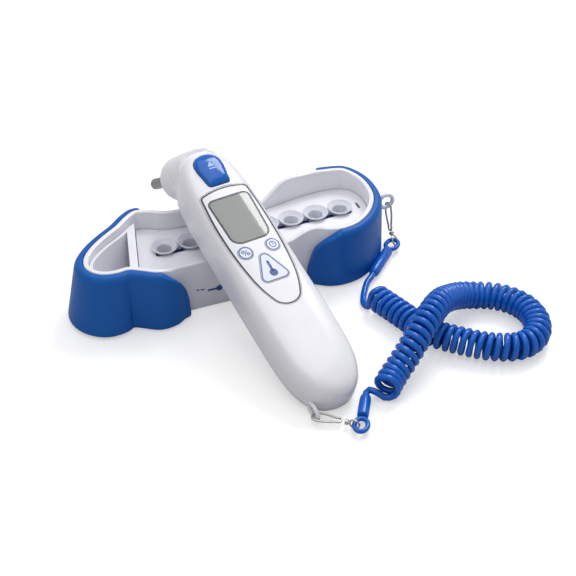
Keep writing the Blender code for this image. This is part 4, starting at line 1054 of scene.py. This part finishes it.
tether = {
    "strand": 3.6, "coilOuter": 15.6, "coilPitch": 4.35, "pointsPerTurn": 14, "sleeve": 6.0, "wire": 1.2,
    "lead": [(93.2, -15.6, 4.2), (84, -24.8, 4.1), (76.4, -32.4, 3.9), (74.6, -34.4, 3.9), (70.0, -38.4, 3.4),
             (66.0, -44.0, 2.2), (63.2, -49.0, 1.9), (61.4, -54.0, 1.9), (62.6, -58.8, 2.8)],
    "coil": [(66.9, -57.9, 7.9), (68.2, -61.8, 7.9), (70.2, -67.2, 7.9), (72.6, -74.2, 7.9),
             (75.4, -82.5, 7.9), (79.0, -92.0, 7.9), (84.6, -100.9, 7.9), (90.6, -107.0, 7.9),
             (96.9, -112.9, 7.9), (103.4, -118.2, 7.9), (110.8, -122.3, 7.9), (118.6, -124.8, 7.9),
             (126.6, -123.8, 7.9), (134.2, -118.4, 7.9), (139.0, -108.6, 7.9), (139.0, -97.2, 7.9),
             (134.6, -87.6, 7.9), (127.4, -80.6, 7.9), (118.8, -77.0, 8.3), (109.0, -77.4, 11.2),
             (98.4, -83.2, 16.6), (88.6, -91.8, 22.6), (80.0, -99.8, 24.4), (70.6, -108.0, 22.8),
             (61.6, -114.8, 17.9), (53.6, -119.6, 12.7), (47.2, -123.5, 9.3), (42.0, -128.0, 8.0),
             (39.2, -131.4, 7.9)],
    "tail": [(33.4, -124.9, 5.6), (31.9, -124.2, 4.2), (30.8, -125.4, 3.5), (30.1, -127.0, 3.4),
             (26.2, -134.0, 3.4), (22.6, -140.2, 3.4)],
    "baseSleeve": [(93.6, -15.2, 4.2), (76.4, -32.4, 3.9)],
    "tailSleeve": [(22.1, -141.0, 3.4), (30.1, -127.0, 3.4)],
    "baseEye": (98.2, -10.6, 4.2), "tailEye": (18.8, -146.6, 3.4),
    "baseSwivel": ((101.5, -7.35, 4.2), (0.209, -0.543, -0.814), (-0.707, 0.707, 0), 3.2),
    "tailSwivel": ((15.9, -144.9, 3.4), (0.716, -0.697, 0.0), (0.511, 0.859, 0), 2.6),
    "baseSnap": ((101.6, 4.2, 23.2), (100.1, -3.8, 9.6), (1, 0.2, 0)),
    "tailSnap": ((-1.4, -131.6, 3.6), (10.6, -139.8, 3.4), (0, 0, 1)),
}


def helixPoints(route):
    # a helix round the route, its frame carried along without twisting
    radius = (tether["coilOuter"] - tether["strand"]) / 2
    line = smoothPath(route, 0.5)
    length = sum((b - a).length for a, b in zip(line, line[1:]))
    turns = round(length / tether["coilPitch"])
    total = turns * tether["pointsPerTurn"]
    side = None
    frames = []
    for i, point in enumerate(line):
        along = (line[min(i + 1, len(line) - 1)] - line[max(i - 1, 0)]).normalized()
        if side is None:
            side = along.cross(Vector((0, 0, 1))).normalized()
        side = (side - along * side.dot(along)).normalized()
        frames.append((point, side.copy(), along.cross(side)))
    points = []
    for i in range(total + 1):
        place = (len(frames) - 1) * i / total
        k = min(int(place), len(frames) - 2)
        f = place - k
        (p, u, v), (q, w, x) = frames[k], frames[k + 1]
        angle = -2 * pi * i / tether["pointsPerTurn"]
        points.append(p.lerp(q, f) + (u.lerp(w, f) * cos(angle) + v.lerp(x, f) * sin(angle)) * radius)
    return points, turns, length


def makeCord():
    helix, turns, coilLong = helixPoints(tether["coil"])
    start = smoothPath(tether["lead"], 1.2)
    end = smoothPath(tether["tail"], 1.2)
    join = smoothPath([start[-4], start[-2], helix[2], helix[4]], 1.0)
    leave = smoothPath([helix[-5], helix[-3], end[1], end[3]], 1.0)
    points = start[:-2] + join[3:-3] + helix[4:-4] + leave[3:-3] + end[3:]
    return points, turns, coilLong


def makeEye(name, centre, toward, node, body):
    toward = Vector(toward).normalized()
    side = toward.cross(Vector((0, 0, 1))).normalized()
    ob = pathTube(name, ringPoints(centre, toward, side, 4.9, 3.4, 48), 2.6, cordBlue, 16, True)
    return finishPiece(ob, cordBlue, body=body, nodes=[node])


def makeSleeve(name, ends, node, body):
    # a smooth moulded sleeve, tapered where the cord comes out
    start, end = Vector(ends[0]), Vector(ends[1])
    length = (end - start).length
    r = tether["sleeve"] / 2
    ob = lathe(name, [(0, 0), (r - 0.7, 0), (r - 0.15, 0.35), (r, 1.0), (r, length - 3.5),
                      (r - 0.25, length - 1.2), (r - 0.8, length - 0.2), (r - 1.1, length), (0, length)], 40)
    turn = (end - start).to_track_quat("Z", "Y").to_matrix().to_4x4()
    placed(ob, Matrix.Translation(start) @ turn)
    return finishPiece(ob, cordBlue, body=body, nodes=[node])


def makeSwivel(name, place, node, body):
    # a turned barrel with a rivet head and a ring that holds the cord's eye
    ringCentre, along, strand, ringRadius = place
    along = Vector(along).normalized()
    start = Vector(ringCentre) - along * (2.4 + ringRadius)
    barrel = lathe(name, [(0, 2.8), (0.7, 2.8), (0.8, 2.7), (0.8, 1.75), (1.3, 1.7), (1.5, 1.5), (1.5, 1.05),
                          (1.35, 0.9), (1.35, 0.7), (1.5, 0.55), (1.5, 0.15), (1.35, 0), (0, 0)], 36)
    across = along.cross(Vector(strand)).normalized()
    turn = Matrix((across, along.cross(across), along)).transposed().to_4x4()
    ring = pathTube(name + "Ring", ringPoints((0, 0, 2.4 + ringRadius), (1, 0, 0), (0, 0, 1), ringRadius,
                                              ringRadius, 40), 1.0, brightSteel, 14, True)
    cut(barrel, [ring], "UNION")
    placed(barrel, Matrix.Translation(start) @ turn)
    return finishPiece(barrel, brightSteel, body=body, nodes=[node])


def makeSnap(name, place, node, body):
    # a bent wire loop that pinches above the swivel, closed by a pressed clasp
    top, bottom, normal = (Vector(v) for v in place)
    along = (bottom - top).normalized()
    side = along.cross(normal).normalized()
    length, width = (bottom - top).length, 6.2
    half = [(0.0, 0.5), (0.08, 0.85), (0.25, 0.97), (0.5, 0.88), (0.72, 0.62), (0.84, 0.5), (0.94, 0.5),
            (1.0, 0.2)]
    right = [top + along * length * t + side * width / 2 * w for t, w in half]
    left = [top + along * length * t - side * width / 2 * w for t, w in reversed(half)]
    ob = pathTube(name, smoothPath(right + left, 0.5, closed=True), tether["wire"], brightSteel, 14, True)
    return finishPiece(ob, brightSteel, body=body, nodes=[node])


cordPath, coilTurns, coilLong = makeCord()
cord = pathTube("curlyCord", cordPath, tether["strand"], cordBlue, 12)
finishPiece(cord, cordBlue, sharp=80)
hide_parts("cord_lead_base", "cord_coil", "cord_lead_tail")
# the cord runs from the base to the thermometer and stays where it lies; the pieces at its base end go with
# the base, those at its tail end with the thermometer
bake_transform(cord)
endBodies = {"base": "base", "tail": "thermometer"}
for end, body in endBodies.items():
    toward = Vector(tether[end + "Sleeve"][0]) - Vector(tether[end + "Eye"])
    makeEye("cordEye" + end.capitalize(), tether[end + "Eye"], toward, "cord_eye_" + end, body)
for end, body in endBodies.items():
    makeSleeve("cordSleeve" + end.capitalize(), tether[end + "Sleeve"],
                               "cord_sleeve_" + end, body)
makeSwivel("baseSwivel", tether["baseSwivel"], "base_swivel", "base")
makeSwivel("tailSwivel", tether["tailSwivel"], "tail_swivel", "thermometer")
makeSnap("baseSnap", tether["baseSnap"], "base_snap", "base_snap")
makeSnap("tailSnap", tether["tailSnap"], "tail_snap", "tail_snap")


# floor, light and camera

stage = {"cameraPlace": (-0.23844, -0.69316, 0.54422), "cameraDown": 53.0, "cameraRight": -21.7,
         "lens": 100.0, "sky": 0.5, "floorGlow": 0.47}


def softBox(name, place, target, size, power, colour=(1, 1, 1)):
    light = bpy.data.lights.new(name, "AREA")
    light.shape = "RECTANGLE"
    light.size, light.size_y = size
    light.energy = power
    light.color = colour
    ob = bpy.data.objects.new(name, light)
    sceneParts.objects.link(ob)
    ob.location = place
    ob.rotation_euler = (Vector(target) - Vector(place)).to_track_quat("-Z", "Y").to_euler()
    return ob


def makeStage():
    scene = bpy.context.scene
    scene.view_settings.view_transform = "Standard"
    world = bpy.data.worlds.new("sky")
    world.use_nodes = True
    world.node_tree.nodes["Background"].inputs["Color"].default_value = (1, 1, 1, 1)
    world.node_tree.nodes["Background"].inputs["Strength"].default_value = stage["sky"]
    scene.world = world
    sheetFloor = prism("floor", [(-3000, -3000), (3000, -3000), (3000, 3000), (-3000, 3000)], -10, 0)
    # the paper adds its own glow towards the lens only, so it doesn't light the parts from below
    floorWhite = finish("floorWhite", (0.62, 0.62, 0.62), (0.63, 0.63, 0.63), 0.25, 0.02, 200,
                        Specular_IOR_Level=0.45, Emission_Color=(1, 1, 1, 1))
    nodes, links = floorWhite.node_tree.nodes, floorWhite.node_tree.links
    seen = nodes.new("ShaderNodeLightPath")
    glow = nodes.new("ShaderNodeMath")
    glow.operation = "MULTIPLY"
    glow.inputs[1].default_value = stage["floorGlow"]
    links.new(seen.outputs["Is Camera Ray"], glow.inputs[0])
    links.new(glow.outputs["Value"], nodes["Principled BSDF"].inputs["Emission Strength"])
    finishPiece(sheetFloor, floorWhite)
    lights = [softBox("keySoftBox", (0.75, 0.55, 1.15), (0, 0, 0), (0.6, 0.6), 9.5),
              softBox("topSoftBox", (-0.1, 0.1, 1.3), (0, 0, 0), (1.4, 1.4), 7.0)]
    camera = bpy.data.cameras.new("camera")
    camera.lens = stage["lens"]
    camera.sensor_width = 36
    ob = bpy.data.objects.new("camera", camera)
    ob.location = stage["cameraPlace"]
    ob.rotation_euler = (radians(stage["cameraDown"]), 0, radians(stage["cameraRight"]))
    sceneParts.objects.link(ob)
    scene.camera = ob


makeStage()
print("stage set")
